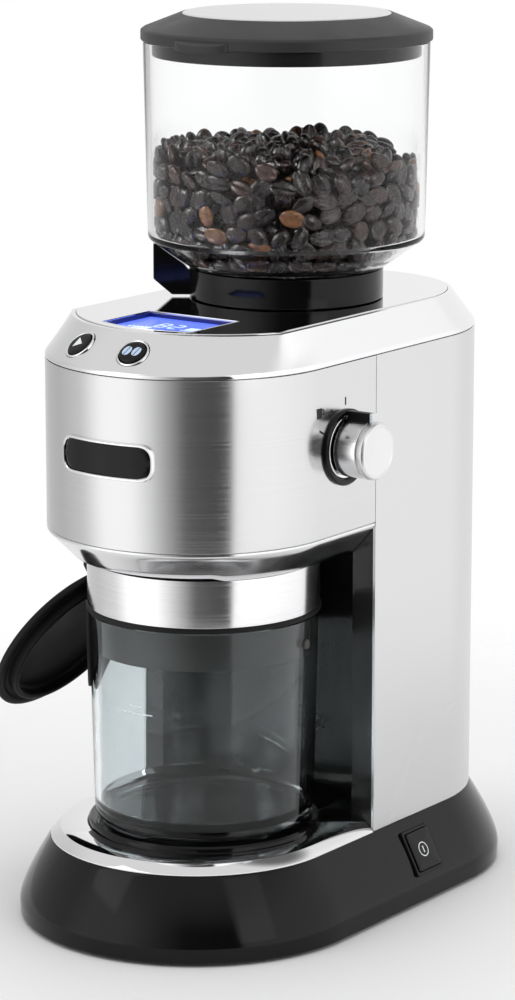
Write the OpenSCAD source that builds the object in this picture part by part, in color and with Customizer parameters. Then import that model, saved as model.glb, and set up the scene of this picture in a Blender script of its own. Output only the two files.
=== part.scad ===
// Burr coffee grinder: bean hopper on top, head with the burrs, column with the motor,
// and a ground-coffee container on a chrome tray. Origin under the burr axis on the
// surface that the feet stand on, -Y towards the front, +X towards the quantity knob.

/* [Overall] */
// Width of the base at its widest
base_w = 155; // [152:1:160]
// Width of the head and the column
body_w = 127.4; // [126:0.2:129]
// Height from the feet to the top of the hopper lid
total_h = 385; // [380:1:400]
// Straight length between the round front and the round rear
plan_len = 100.4; // [98:0.2:104]

/* [Base] */
// Height of the skirt
skirt_h = 35.5; // [34:0.5:38]
// Height of the upright band at the bottom of the skirt
skirt_band = 8; // [6:0.5:10]
// Height of the rubber feet below the base plate
foot_h = 1.2; // [1:0.2:2]
// Thickness of the plastic shells
shell_t = 2.4; // [2:0.1:2.8]

/* [Head] */
// Height of the lower edge of the steel head wrap
wrap_z0 = 173.4; // [172:0.2:175]
// Height of the upper edge of the steel head wrap
wrap_z1 = 245.6; // [244:0.2:247]
// Height of the top deck
deck_z = 262; // [260:0.5:264]
// Thickness of the sheet steel
sheet_t = 1.2; // [1:0.1:1.4]

/* [Container] */
// Distance from the burr axis forward to the container axis
cup_y = 61; // [60:0.5:62]
// Outer radius of the container's ring
cup_r = 50; // [49:0.2:50.4]
// Height of the container's top edge
cup_top = 158.2; // [154:0.2:158.2]

/* [Hopper] */
// Outer radius of the hopper at its top
hopper_r = 61.8; // [60:0.2:63]
// Wall of the hopper
hopper_t = 2.4; // [2:0.1:3]

/* [Drive] */
// Teeth of the motor pinion and of the idler pinion
pinion_teeth = 12; // [12:1:12]
// Teeth of the idler wheel and of the burr wheel
wheel_teeth = 48; // [48:1:48]
// Gear module of the first stage
module_1 = 1; // [1:0.1:1]
// Gear module of the second stage
module_2 = 1.25; // [1.25:0.05:1.25]

/* [Hidden] */
$fn = 96;

base_r = base_w / 2;
body_r = body_w / 2;
front_y = -66;
rear_y = front_y + plan_len;
gap = 0.15;
seam_y = -23.9;

deck_half = 54.8;
deck_front_r = 64;
deck_front_y = -47;
deck_rear_y = 31.6;

bezel_r = 52;
bezel_z = 158.8;

hopper_neck_r = 34;
collar_r = 42.2;
collar_z = 275.4;
lid_z = total_h - 11.8;

idler_y = module_2 * (pinion_teeth + wheel_teeth) / 2;
motor_y = idler_y + module_1 * (pinion_teeth + wheel_teeth) / 2;
gear_z = 177.5;

knob_y = -47;
knob_z = 210;
button_phi = [-20, 7.3];
button_r = 6.1;

lid_pin = [-54, -cup_y, 147];
lid_lean = 34;
lid_turn = -2;

// ---------- shared shapes ----------

// Outline with a round front and a round rear
module stadium(r, yf = front_y, yr = rear_y) {
    translate([0, yf]) circle(r);
    translate([0, yr]) circle(r);
    translate([-r, yf]) square([2 * r, yr - yf]);
}

// Solid of a stadium plan whose side section is the polygon pts of [radius, height]
module stadium_solid(pts, yf = front_y, yr = rear_y) {
    translate([0, yf, 0]) rotate_extrude() polygon(pts);
    translate([0, yr, 0]) rotate_extrude() polygon(pts);
    translate([0, yr, 0]) rotate([90, 0, 0]) linear_extrude(yr - yf) {
        polygon(pts);
        mirror([1, 0]) polygon(pts);
    }
}

module plate(z0, z1) { translate([0, 0, z0]) linear_extrude(z1 - z0) children(); }
module ring(r1, r0, z0, z1) { plate(z0, z1) difference() { circle(r1); circle(r0); } }
module front_of(y) { translate([-200, y - 400]) square([400, 400]); }
module behind(y) { translate([-200, y]) square([400, 400]); }
module box(lo, hi) { translate(lo) cube(hi - lo); }

// Turns +Z to the direction n, at the point p
module along(p, n) {
    translate(p) rotate([0, acos(n[2] / norm(n)), atan2(n[1], n[0])]) children();
}

// Screw with a pan head, its tip down at z0 and its head's top at z1
module screw(r, head_r, head_h, z0, z1) {
    translate([0, 0, z0]) cylinder(r = r, h = z1 - z0 - head_h);
    translate([0, 0, z1 - head_h]) cylinder(r = head_r, h = head_h);
}

// Spur gear outline: involute flanks with backlash, one tooth centred at angle turn
function inv_pt(rb, r) = let (a = acos(min(1, rb / r))) tan(a) * 180 / PI - a;
module gear_2d(teeth, m, turn, slack = 0.16) {
    rp = m * teeth / 2;
    rb = rp * cos(25);
    ra = rp + 0.95 * m;
    rr = rp - 1.25 * m;
    half = (m * PI / 2 - slack) / rp * 90 / PI + inv_pt(rb, rp);
    steps = 5;
    flank = [for (i = [0:steps]) max(rb, rr) + (ra - max(rb, rr)) * i / steps];
    root = 360 / teeth / 2;
    polygon([for (t = [0:teeth - 1]) let (c = turn + t * 360 / teeth) each concat(
        [[rr * cos(c - root), rr * sin(c - root)]],
        [[rr * cos(c - half), rr * sin(c - half)]],
        [for (r = flank) let (a = c - half + inv_pt(rb, r)) [r * cos(a), r * sin(a)]],
        [for (i = [steps:-1:0]) let (r = flank[i], a = c + half - inv_pt(rb, r))
            [r * cos(a), r * sin(a)]],
        [[rr * cos(c + half), rr * sin(c + half)]])]);
}

// ---------- base ----------

skirt_steps = 9;
function skirt_pts(inset, z0, z1) = concat(
    [[0, z0], [base_r - inset, z0]],
    [for (i = [0:skirt_steps]) let (t = i / skirt_steps)
        [body_r + (base_r - body_r) * (1 - pow(t, 1.3)) - inset, skirt_band + (z1 - skirt_band) * t]],
    [[0, z1]]);

seat_r = 50.4;
switch_pos = [body_r + 8.1, 2.4, 22.4];
switch_lean = 62;
switch_w = 20.4;
gland_z = 17;
feet_at = concat([[0, 0]], [for (y = [front_y - 30, rear_y + 30], x = [-44, 44]) [x, y]]);
screws_at = [for (y = [front_y + 6, rear_y - 10], x = [-62, 62]) [x, y]];

// Turns +Z to the skirt's outward normal at the power switch
module at_switch() { translate(switch_pos) rotate([0, switch_lean, 0]) children(); }

module base_shell() {
    color([0.05, 0.05, 0.055]) difference() {
        stadium_solid(skirt_pts(0, foot_h, skirt_h));
        difference() {
            stadium_solid(skirt_pts(shell_t, foot_h - 1, skirt_h - shell_t));
            for (s = screws_at) translate([s[0], s[1], 4.4]) cylinder(r = 4, h = 40);
        }
        for (s = screws_at) translate([s[0], s[1], 4]) cylinder(r = 1.55, h = 12);
        plate(20, 60) stadium(36, 20, rear_y);
        at_switch() translate([0, 0, -6]) plate(0, 30) square(switch_w + 0.4, center = true);
        translate([0, rear_y + base_r - 13, gland_z]) rotate([-90, 0, 0]) cylinder(r = 7.2, h = 20);
    }
}

module base_plate() {
    color([0.09, 0.09, 0.095]) difference() {
        plate(foot_h + 0.2, foot_h + 3) stadium(base_r - shell_t - 0.3);
        for (s = screws_at) translate([s[0], s[1], 0]) {
            cylinder(r = 1.8, h = 10);
            cylinder(r = 3.6, h = foot_h + 1.6);
        }
        for (f = feet_at) translate([f[0], f[1], 0]) cylinder(r = 8.1, h = foot_h + 1.2);
    }
}

module rubber_feet() {
    color([0.12, 0.12, 0.12]) for (f = feet_at) translate([f[0], f[1], 0]) {
        cylinder(r = 7.9, h = foot_h + 1.1);
    }
}

module base_screws() {
    color([0.6, 0.6, 0.62]) for (s = screws_at) translate([s[0], s[1], foot_h + 0.2]) {
        cylinder(r = 3.4, h = 1.3);
        cylinder(r = 1.5, h = 10);
    }
}

tray_rise = 4.2;
module tray_trim() {
    color([0.85, 0.86, 0.87]) difference() {
        intersection() {
            stadium_solid([[0, skirt_h + 0.1], [body_r, skirt_h + 0.1], [body_r, skirt_h + 0.6],
                [body_r - 4.2, skirt_h + tray_rise], [0, skirt_h + tray_rise]]);
            plate(30, 50) front_of(seam_y - 0.3);
        }
        translate([0, -cup_y, 30]) cylinder(r = seat_r + gap, h = 20);
    }
}

module cup_seat() {
    color([0.04, 0.04, 0.045]) translate([0, -cup_y, 0]) difference() {
        intersection() {
            rotate_extrude() polygon([[0, skirt_h + 0.1], [seat_r - 0.2, skirt_h + 0.1],
                [seat_r - 0.2, 41.6], [seat_r - 1, 42.4], [0, 42.4]]);
            plate(0, 60) front_of(cup_y + seam_y - 0.4);
        }
        translate([0, 0, skirt_h - 1]) cylinder(r = 44, h = 5);
    }
}

module switch_housing() {
    color([0.07, 0.07, 0.075]) at_switch() translate([0, 0, -5.5]) difference() {
        plate(0, 6) square(switch_w, center = true);
        plate(1.6, 20) square(switch_w - 2.8, center = true);
    }
}

module power_button() {
    color([0.03, 0.03, 0.035]) at_switch() {
        plate(-1.6, 1.1) square(switch_w - 3.4, center = true);
        plate(-2.6, -1.6) circle(3);
    }
}

module cord_gland() {
    color([0.06, 0.06, 0.06]) translate([0, rear_y + base_r, gland_z]) rotate([-90, 0, 0]) {
        difference() {
            union() {
                translate([0, 0, -11.6]) cylinder(r = 6.9, h = 11.2);
                translate([0, 0, -13.6]) cylinder(r = 8.2, h = 2.2);
            }
            translate([0, 0, -20]) cylinder(r = 3.5, h = 30);
        }
    }
}

module power_board() {
    color([0.1, 0.35, 0.18]) {
        box([-20, 50, 8], [20, 86, 9.6]);
        box([-14, 56, 9.6], [-2, 76, 24]);
        translate([8, 66, 9.6]) cylinder(r = 6, h = 16);
    }
}

// ---------- column ----------

column_z0 = skirt_h + 0.2;

// Side and rear wall of sheet steel
module column_cover() {
    color([0.72, 0.73, 0.74]) plate(column_z0, wrap_z1) difference() {
        intersection() {
            stadium(body_r);
            behind(seam_y);
        }
        stadium(body_r - sheet_t);
    }
}

niche_half = 52;
niche_y = -3;
module column_front() {
    color([0.05, 0.05, 0.055]) {
        for (s = [-1, 1]) box([min(s * niche_half, s * (body_r - sheet_t - 0.2)), seam_y + 0.2, column_z0],
            [max(s * niche_half, s * (body_r - sheet_t - 0.2)), niche_y, wrap_z0 - 0.4]);
        box([-niche_half, niche_y - 2.4, column_z0], [niche_half, niche_y, wrap_z0 - 0.4]);
    }
}

module rear_spine() {
    color([0.2, 0.2, 0.21]) difference() {
        box([-44, niche_y + 0.2, column_z0], [44, niche_y + 4.2, wrap_z0 - 0.4]);
        for (z = [60, 95, 130]) box([-26, niche_y - 1, z], [26, niche_y + 6, z + 18]);
    }
}

// ---------- head shells ----------

module head_wrap() {
    color([0.74, 0.75, 0.76]) difference() {
        plate(wrap_z0, wrap_z1) difference() {
            intersection() {
                stadium(body_r);
                front_of(seam_y - 0.3);
            }
            stadium(body_r - sheet_t);
        }
        translate([50, knob_y, knob_z]) rotate([0, 90, 0]) cylinder(r = 9, h = 20);
    }
}

// Outline of the lower bezel's bottom edge
module bezel_outline(r) {
    intersection() {
        union() {
            translate([0, front_y + 2]) circle(r);
            translate([-r, front_y + 2]) square([2 * r, 60]);
        }
        front_of(seam_y - 0.4);
    }
}

module bezel_loft(inset, z0, z1) {
    hull() {
        plate(z0, z0 + 0.4) bezel_outline(bezel_r - inset);
        plate(z1 - 0.4, z1) intersection() {
            stadium(body_r - inset);
            front_of(seam_y - 0.4);
        }
    }
}

module lower_bezel() {
    color([0.82, 0.83, 0.84]) difference() {
        union() {
            bezel_loft(0, bezel_z, wrap_z0 - 1.4);
            plate(wrap_z0 - 1.4, wrap_z0 - 0.2) intersection() {
                stadium(body_r - 0.2);
                front_of(seam_y - 0.4);
            }
        }
        bezel_loft(2, bezel_z - 1, wrap_z0 - 2);
        plate(wrap_z0 - 2.4, wrap_z0 + 1) stadium(body_r - 2.2);
        translate([0, front_y - 20, bezel_z]) rotate([90, 0, 0]) linear_extrude(60) {
            polygon([[-42, -1], [42, -1], [38, 1.6], [-38, 1.6]]);
        }
    }
}

module head_floor() {
    color([0.05, 0.05, 0.055]) difference() {
        plate(165, 167.4) intersection() {
            bezel_outline(bezel_r + 3.4);
            front_of(seam_y - 1);
        }
        translate([0, -cup_y, 160]) cylinder(r = 14.4, h = 20);
    }
}

// Deck outline: wide arc at the front, straight sides, round rear
module deck_outline(inset) {
    intersection() {
        union() {
            translate([0, deck_rear_y]) circle(deck_half - inset);
            translate([inset - deck_half, -140]) square([2 * (deck_half - inset), 140 + deck_rear_y]);
        }
        union() {
            translate([0, deck_front_y]) circle(deck_front_r - inset);
            behind(deck_front_y);
        }
    }
}

module top_loft(inset, z0, z1) {
    hull() {
        plate(z0, z0 + 0.4) stadium(body_r - inset);
        plate(z1 - 0.4, z1) deck_outline(inset);
    }
}

// Point and outward normal of the front bevel at the angle phi from the front
function bevel_pt(phi) = [63.85 * sin(phi), -56.6 - 63.85 * cos(phi), deck_z - 7.5];
function bevel_n(phi) = [sin(phi) * 0.62, -cos(phi) * 0.62, cos(phi) * 0.785];

module top_bezel() {
    color([0.84, 0.85, 0.86]) difference() {
        union() {
            top_loft(0, 247.4, deck_z - 0.4);
            plate(wrap_z1 + 0.2, 247.4) stadium(body_r);
        }
        top_loft(2.2, wrap_z1 - 4, deck_z - 2.6);
        plate(240, 280) deck_outline(1.6);
        for (p = button_phi) along(bevel_pt(p), bevel_n(p)) {
            translate([0, 0, -8]) cylinder(r = button_r + 1.3, h = 20);
        }
    }
}

window_half = 23.5;
window_back = -67;
window_front = -105;
module window_outline(inset) {
    intersection() {
        translate([inset - window_half, window_front - 10])
            square([2 * (window_half - inset), window_back - window_front + 10 - inset]);
        translate([0, deck_front_y]) circle(58.5 - inset);
    }
}

module top_deck() {
    color([0.86, 0.87, 0.88]) difference() {
        plate(deck_z - 2.4, deck_z) deck_outline(1.8);
        translate([0, 0, 240]) cylinder(r = 38.8, h = 40);
        plate(240, 280) window_outline(0);
    }
}

module display_window() {
    color([0.1, 0.14, 0.5]) difference() {
        plate(deck_z - 5.8, deck_z - 0.6) window_outline(0.2);
        plate(deck_z - 4.4, deck_z) window_outline(1.4);
    }
}

module lcd_panel() {
    color([0.35, 0.42, 0.9]) plate(deck_z - 4.2, deck_z - 2.2) window_outline(1.8);
}

module control_board() {
    color([0.1, 0.35, 0.18]) {
        plate(deck_z - 12, deck_z - 10.4) window_outline(0);
        box([-6, -90, deck_z - 10.4], [6, -82, deck_z - 8.2]);
    }
}

module button_cap(phi) {
    along(bevel_pt(phi), bevel_n(phi)) {
        translate([0, 0, -4]) cylinder(r = button_r - 0.35, h = 4.9);
        translate([0, 0, -5.2]) cylinder(r = 2, h = 1.2);
    }
}

module start_button() { color([0.08, 0.08, 0.085]) button_cap(button_phi[0]); }
module type_button() { color([0.08, 0.08, 0.085]) button_cap(button_phi[1]); }

module button_bezels() {
    color([0.85, 0.86, 0.87]) for (p = button_phi) along(bevel_pt(p), bevel_n(p)) {
        ring(button_r + 1.1, button_r, -4, 0.5);
    }
}

module button_switches() {
    color([0.25, 0.25, 0.26]) for (p = button_phi) along(bevel_pt(p), bevel_n(p)) {
        plate(-10.4, -6.6) square([5, 5], center = true);
    }
}

// ---------- badge and knob ----------

badge_z = 211;
badge_w = 48;
badge_h = 15.6;

// Rounded bar standing upright in front of the head
module badge_bar(w, h, r, y0, y1) {
    translate([0, y1, badge_z]) rotate([90, 0, 0]) linear_extrude(y1 - y0) {
        square([w - 2 * r, h], center = true);
        square([w, h - 2 * r], center = true);
        for (x = [-1, 1], z = [-1, 1]) translate([x * (w / 2 - r), z * (h / 2 - r)]) circle(r, $fn = 32);
    }
}

// Keeps the part of its children between two radii of the head's round front
module on_wrap(r0, r1) {
    intersection() {
        children();
        translate([0, front_y, 0]) ring(r1, r0, 150, 260);
    }
}

module badge_plate() {
    color([0.03, 0.03, 0.035]) on_wrap(body_r + 0.1, body_r + 1.4) {
        badge_bar(badge_w - 2.6, badge_h - 2.6, 5.4, front_y - 70, front_y - 20);
    }
}

module badge_frame() {
    color([0.85, 0.86, 0.87]) on_wrap(body_r + 0.1, body_r + 1.9) difference() {
        badge_bar(badge_w, badge_h, 6.6, front_y - 70, front_y - 20);
        badge_bar(badge_w - 2.4, badge_h - 2.4, 5.5, front_y - 80, front_y - 10);
    }
}

// Turns +Z to +X on the knob's axis, with the head's side wall at zero
module at_knob() { translate([body_r, knob_y, knob_z]) rotate([0, 90, 0]) children(); }

module knob_ring() {
    color([0.05, 0.05, 0.055]) at_knob() {
        ring(16.3, 13.2, 0.1, 1.8);
        ring(13.2, 8.2, 0.1, 0.9);
        ring(8.8, 8.2, -4.2, 0.1);
    }
}

module knob_encoder() {
    color([0.3, 0.3, 0.32]) at_knob() difference() {
        union() {
            plate(-14, -6) square([14, 14], center = true);
            translate([0, 0, -6]) cylinder(r = 4.5, h = 4);
        }
        translate([0, 0, -12]) cylinder(r = 3.05, h = 20);
    }
}

module knob_shaft() {
    color([0.6, 0.6, 0.62]) at_knob() translate([0, 0, -11]) cylinder(r = 3, h = 23);
}

knob_top = 17;
module quantity_knob() {
    color([0.8, 0.8, 0.81]) at_knob() difference() {
        union() {
            rotate_extrude() polygon([[0, 2.1], [11.9, 2.1], [12.2, 2.6], [12.2, knob_top - 1.6],
                [11.6, knob_top - 0.5], [10.4, knob_top], [0, knob_top]]);
            box([-15.8, -1.7, 2.1], [0, 1.7, knob_top - 2.4]);
        }
        translate([0, 0, 1]) cylinder(r = 3.05, h = 11.1);
    }
}

// ---------- gearbox and motor ----------

module gearbox_outline(inset) {
    circle(37 - inset);
    translate([0, idler_y]) circle(31 - inset);
    translate([0, motor_y]) circle(26 - inset);
    translate([inset - 26, 0]) square([2 * (26 - inset), motor_y]);
}

gearbox_screws_at = [[-32, 21], [32, 21], [-20, 82], [20, 82]];
bush_r = 8;

module gearbox_base() {
    color([0.55, 0.56, 0.58]) difference() {
        union() {
            plate(173.2, 176.4) {
                gearbox_outline(0);
                translate([-50, -20]) square([100, 28]);
            }
            plate(176.4, 196) difference() {
                gearbox_outline(0);
                gearbox_outline(2.4);
            }
            for (s = gearbox_screws_at) translate([s[0], s[1], 173.2]) cylinder(r = 4, h = 22.8);
        }
        translate([0, 0, 160]) cylinder(r = bush_r + 0.02, h = 30);
        translate([0, idler_y, 160]) cylinder(r = 2.5, h = 30);
        translate([0, motor_y, 160]) cylinder(r = 7, h = 30);
        for (s = gearbox_screws_at) translate([s[0], s[1], 182]) cylinder(r = 1.6, h = 30);
    }
}

module gearbox_cover() {
    color([0.5, 0.51, 0.53]) difference() {
        plate(196.1, 198.6) {
            gearbox_outline(0);
            for (s = gearbox_screws_at) translate(s) circle(4);
        }
        translate([0, 0, 190]) cylinder(r = 12.4, h = 20);
        translate([0, idler_y, 190]) cylinder(r = 2.55, h = 20);
        for (s = gearbox_screws_at) translate([s[0], s[1], 182]) cylinder(r = 1.8, h = 30);
    }
}

module gearbox_screws() {
    color([0.6, 0.6, 0.62]) for (s = gearbox_screws_at) translate([s[0], s[1], 0]) {
        screw(1.5, 3.2, 2, 184, 200.8);
    }
}

can_r = 25;
can_z0 = 96;
can_z1 = 173;
module motor_can() {
    color([0.5, 0.5, 0.52]) translate([0, motor_y, 0]) difference() {
        translate([0, 0, can_z0]) cylinder(r = can_r, h = can_z1 - can_z0);
        translate([0, 0, can_z0 - 1]) cylinder(r = can_r - 2, h = can_z1 - can_z0 - 1.4);
        translate([0, 0, can_z1 - 10]) cylinder(r = 2.56, h = 20);
    }
}

module motor_cap() {
    color([0.12, 0.12, 0.13]) translate([0, motor_y, 0]) difference() {
        union() {
            translate([0, 0, can_z0 - 3]) cylinder(r = can_r, h = 2.9);
            translate([0, 0, can_z0 - 0.1]) cylinder(r = can_r - 2.1, h = 4);
        }
        translate([0, 0, can_z0 - 10]) cylinder(r = 2.56, h = 30);
    }
}

module motor_rotor() {
    color([0.6, 0.4, 0.25]) translate([0, motor_y, 0]) {
        translate([0, 0, can_z0 - 4]) cylinder(r = 2.5, h = 94);
        translate([0, 0, can_z0 + 8]) cylinder(r = can_r - 4, h = 50);
    }
}

// Pinion on the motor shaft, meshing with the idler wheel
module motor_pinion() {
    color([0.75, 0.75, 0.77]) translate([0, motor_y, 0]) plate(gear_z, gear_z + 6.6) difference() {
        gear_2d(pinion_teeth, module_1, 180 / pinion_teeth);
        circle(2.52);
    }
}

module idler_axle() {
    color([0.7, 0.7, 0.72]) translate([0, idler_y, 173.2]) cylinder(r = 2.45, h = 25.4);
}

module idler_gear() {
    color([0.85, 0.83, 0.72]) translate([0, idler_y, 0]) {
        plate(gear_z, gear_z + 6) difference() {
            gear_2d(wheel_teeth, module_1, 90);
            circle(2.52);
        }
        plate(gear_z + 6, gear_z + 17) difference() {
            gear_2d(pinion_teeth, module_2, 180 / pinion_teeth);
            circle(2.52);
        }
    }
}

module burr_gear() {
    color([0.85, 0.83, 0.72]) plate(gear_z + 7.6, gear_z + 16.6) difference() {
        gear_2d(wheel_teeth, module_2, 90);
        circle(5.02);
    }
}

module burr_shaft() {
    color([0.7, 0.7, 0.72]) translate([0, 0, 174]) cylinder(r = 5, h = 76);
}

module shaft_bushes() {
    color([0.7, 0.52, 0.2]) {
        ring(bush_r, 5.05, 173.4, 184);
        ring(12, 5.05, 196.4, 203.4);
    }
}

// ---------- burrs ----------

chamber_r = 37.6;
chamber_in = 33;
chamber_z = 198.8;
outlet_half = 11;

module burr_chamber() {
    color([0.16, 0.16, 0.17]) difference() {
        translate([0, 0, chamber_z]) cylinder(r = chamber_r, h = 52);
        translate([0, 0, chamber_z + 6]) cylinder(r = chamber_in, h = 60);
        translate([0, 0, chamber_z - 1]) cylinder(r = 12.1, h = 10);
        box([-outlet_half, -60, chamber_z + 6], [outlet_half, -20, chamber_z + 18]);
        for (s = gearbox_screws_at) translate([s[0], s[1], chamber_z - 1]) cylinder(r = 4, h = 4);
    }
}

module grounds_sweeper() {
    color([0.2, 0.2, 0.21]) difference() {
        union() {
            plate(206, 208) circle(31.4);
            for (a = [0, 120, 240]) rotate(a) box([24, -2, 208], [31.2, 2, 213.5]);
            plate(208, 214) circle(9);
        }
        translate([0, 0, 200]) cylinder(r = 5.03, h = 20);
    }
}

burr_z = 214.2;
burr_h = 26;
flute_n = 12;

// Conical burr with slanted flutes, wide end down
module inner_burr() {
    color([0.45, 0.46, 0.48]) difference() {
        translate([0, 0, burr_z]) rotate_extrude() polygon([[5.03, 0], [21, 0], [21, 4], [10, burr_h],
            [5.03, burr_h]]);
        for (a = [0:360 / flute_n:359]) rotate(a) translate([19.6, 0, burr_z + 3]) {
            rotate([10, -26, 0]) box([0, -1.1, 0], [9, 1.1, 40]);
        }
    }
}

module burr_nut() {
    color([0.65, 0.65, 0.67]) plate(burr_z + burr_h + 0.2, burr_z + burr_h + 6) difference() {
        circle(8.5, $fn = 6);
        circle(5.03);
    }
}

module outer_burr() {
    color([0.42, 0.43, 0.45]) difference() {
        translate([0, 0, burr_z + 2]) rotate_extrude() polygon([[21.9, 0], [28, 0], [28, 18], [16, 18],
            [16, 15], [21.9, 3]]);
        for (a = [0:20:359]) rotate(a) translate([24, 0, burr_z - 1]) {
            rotate([-8, -26, 0]) box([-3, -0.9, 0], [2, 0.9, 26]);
        }
    }
}

module burr_carrier() {
    color([0.14, 0.14, 0.15]) difference() {
        ring(32.4, 28.1, burr_z + 2, 249);
        for (s = [-1, 1]) box([s * 34 - 2.2, -3, 240], [s * 34 + 2.2, 3, 260]);
    }
}

// Chute from the burr chamber's outlet down to the container
module grounds_chute() {
    color([0.09, 0.09, 0.095]) difference() {
        union() {
            box([-13.4, -75, chamber_z + 3], [13.4, -38.6, chamber_z + 20]);
            translate([0, -cup_y, 159]) cylinder(r = 14, h = 43.4);
        }
        box([-outlet_half, -72, chamber_z + 6], [outlet_half, -30, chamber_z + 18]);
        translate([0, -cup_y, 150]) cylinder(r = 11, h = 60);
    }
}

lever_r = 57.8;
lever_at = 37;
// Grind setting ring: hub inside the deck, glossy collar above it, and the lever
module grind_ring() {
    color([0.03, 0.03, 0.035]) difference() {
        union() {
            ring(38.3, 35, 251.1, 262.5);
            ring(collar_r, 35, 262.4, collar_z);
            intersection() {
                rotate(180 + lever_at) translate([0, 2.4, 0]) rotate([90, 0, 0]) linear_extrude(4.8) {
                    polygon([[39, 262.9], [49.8, 262.9], [lever_r, 269.8], [lever_r, 285],
                        [lever_r - 0.9, 285], [44, 275.6], [42.4, 273.4], [39, 273.4]]);
                }
                ring(lever_r + 1, 39, 262.4, 290);
            }
        }
        rotate_extrude() polygon([[35, collar_z - 5], [36.6, collar_z - 5], [36.6, collar_z + 5],
            [35, collar_z + 5]]);
    }
}

// ---------- hopper ----------

cone_z0 = 276;
cone_z1 = 288.4;
module hopper() {
    color([0.8, 0.84, 0.86, 0.35]) rotate_extrude() polygon([
        [hopper_neck_r, 256], [hopper_neck_r, cone_z0 - 0.2], [43, cone_z0], [56.5, 285.6],
        [59.1, 286.8], [60.1, 289], [hopper_r, lid_z - 0.1],
        [hopper_r - hopper_t, lid_z - 0.1], [60.2 - hopper_t, 291], [56.4, cone_z1 + 0.4],
        [42.6, cone_z0 + 2.4], [hopper_neck_r - hopper_t, cone_z0 + 0.6], [hopper_neck_r - hopper_t, 256]]);
}

module hopper_lid() {
    color([0.1, 0.1, 0.105]) difference() {
        union() {
            rotate_extrude() polygon([[0, lid_z + 0.1], [62.6, lid_z + 0.1], [62.8, lid_z + 0.6],
                [62.6, lid_z + 4.4], [61.9, lid_z + 5], [45.4, total_h - 0.3], [0, total_h - 0.3]]);
            intersection() {
                box([-14, -67.4, lid_z - 1.4], [14, -55, lid_z + 4.2]);
                ring(66.6, 62.2, lid_z - 1.4, lid_z + 4.2);
            }
        }
        translate([0, 0, total_h - 2]) cylinder(r = 45.1, h = 5);
        translate([0, 0, lid_z - 5]) cylinder(r = 55, h = 7);
    }
}

module lid_disc() {
    color([0.9, 0.9, 0.91]) rotate_extrude() polygon([[0, total_h - 1.9], [44.9, total_h - 1.9],
        [44.9, total_h - 0.6], [44.3, total_h], [0, total_h]]);
}

module lid_gasket() {
    color([0.3, 0.31, 0.32]) ring(58.2, 55.8, lid_z - 6.4, lid_z);
}

// ---------- ground-coffee container ----------

jar_z0 = 42.9;
ring_z0 = 137.4;

module at_cup() { translate([0, -cup_y, 0]) children(); }

module jar() {
    color([0.3, 0.33, 0.35, 0.45]) at_cup() {
        rotate_extrude() polygon([[0, jar_z0 + 0.8], [41, jar_z0 + 0.8], [42, jar_z0], [44.6, jar_z0],
            [46.8, jar_z0 + 2.2], [47.5, jar_z0 + 4.8], [49.5, ring_z0 - 3], [48, ring_z0 - 2.6],
            [48, 152], [46.4, 152], [46.4, ring_z0 - 4], [45.3, jar_z0 + 7], [43.4, jar_z0 + 5],
            [0, jar_z0 + 4.4]]);
        rotate(8) translate([48.3, 0, 124]) rotate([0, 90, 0]) cylinder(r = 2.2, h = 2, $fn = 32);
    }
}

module jar_ring() {
    color([0.82, 0.83, 0.84]) at_cup() rotate_extrude() polygon([[48.2, ring_z0], [cup_r, ring_z0],
        [cup_r, cup_top - 0.8], [cup_r - 0.8, cup_top], [44.6, cup_top], [44.6, 152.2], [48.2, 152.2]]);
}

module jar_sleeve() {
    color([0.35, 0.36, 0.37]) at_cup() ring(46.1, 44.8, 118, 152);
}

// Carries its children round the container's axis to the side that the lid hangs on
module at_hinge() {
    at_cup() rotate(lid_turn) translate([0, cup_y, 0]) children();
}

tongue_at = 212;
module jar_gasket() {
    color([0.04, 0.04, 0.045]) {
        at_cup() {
            ring(50.5, 48.2, ring_z0 - 2.3, ring_z0 - 0.1);
            rotate(tongue_at) intersection() {
                translate([50, 0, ring_z0 - 40]) rotate([0, 90, 0]) linear_extrude(4, center = true) {
                    polygon([[0, -2.4], [-30, -5.6], [-38, -5.6], [-38, 5.6], [-30, 5.6], [0, 2.4], [3, 0]]);
                }
                ring(51.4, 49.7, ring_z0 - 50, ring_z0);
            }
        }
        at_hinge() for (s = [-1, 1]) difference() {
            translate([0, lid_pin[1] + s * 10.5, 0]) rotate([90, 0, 0]) linear_extrude(4, center = true) {
                difference() {
                    union() {
                        translate([lid_pin[0], lid_pin[2]]) circle(3);
                        polygon([[lid_pin[0] - 3, lid_pin[2]], [-51.2, ring_z0 + 1],
                            [-51.2, ring_z0 - 2.3], [-46, ring_z0 - 2.3], [-46, lid_pin[2]]]);
                    }
                    translate([lid_pin[0], lid_pin[2]]) circle(1.55);
                }
            }
            at_cup() {
                translate([0, 0, ring_z0 - 0.1]) cylinder(r = cup_r + 0.3, h = 60);
                translate([0, 0, ring_z0 - 5]) cylinder(r = 48.7, h = 60);
            }
        }
    }
}

// Local frame of the rubber lid: origin on its pin, +X away from the pin, +Z its upper face
module at_lid() {
    at_hinge() translate(lid_pin) rotate([0, 180 - (90 - lid_lean), 0]) children();
}

rubber_r = 40;
plug_r = 33.6;
module rubber_lid() {
    color([0.04, 0.04, 0.045]) at_lid() {
        translate([rubber_r + 4.6, 0, 0]) rotate_extrude() polygon([[0, -0.4], [rubber_r, -0.4],
            [rubber_r, 2.2], [rubber_r - 1.2, 3], [rubber_r - 3, 3], [rubber_r - 4, 1.4],
            [plug_r, 1.4], [plug_r, 6.6], [plug_r - 2.6, 6.6], [plug_r - 2.6, 1.4], [0, 1.4]]);
        rotate([90, 0, 0]) cylinder(r = 2.9, h = 16, center = true);
        box([0, -8, -1], [9, 8, 1.4]);
        rotate([90, 0, 0]) cylinder(r = 1.5, h = 25, center = true);
    }
}

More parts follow.
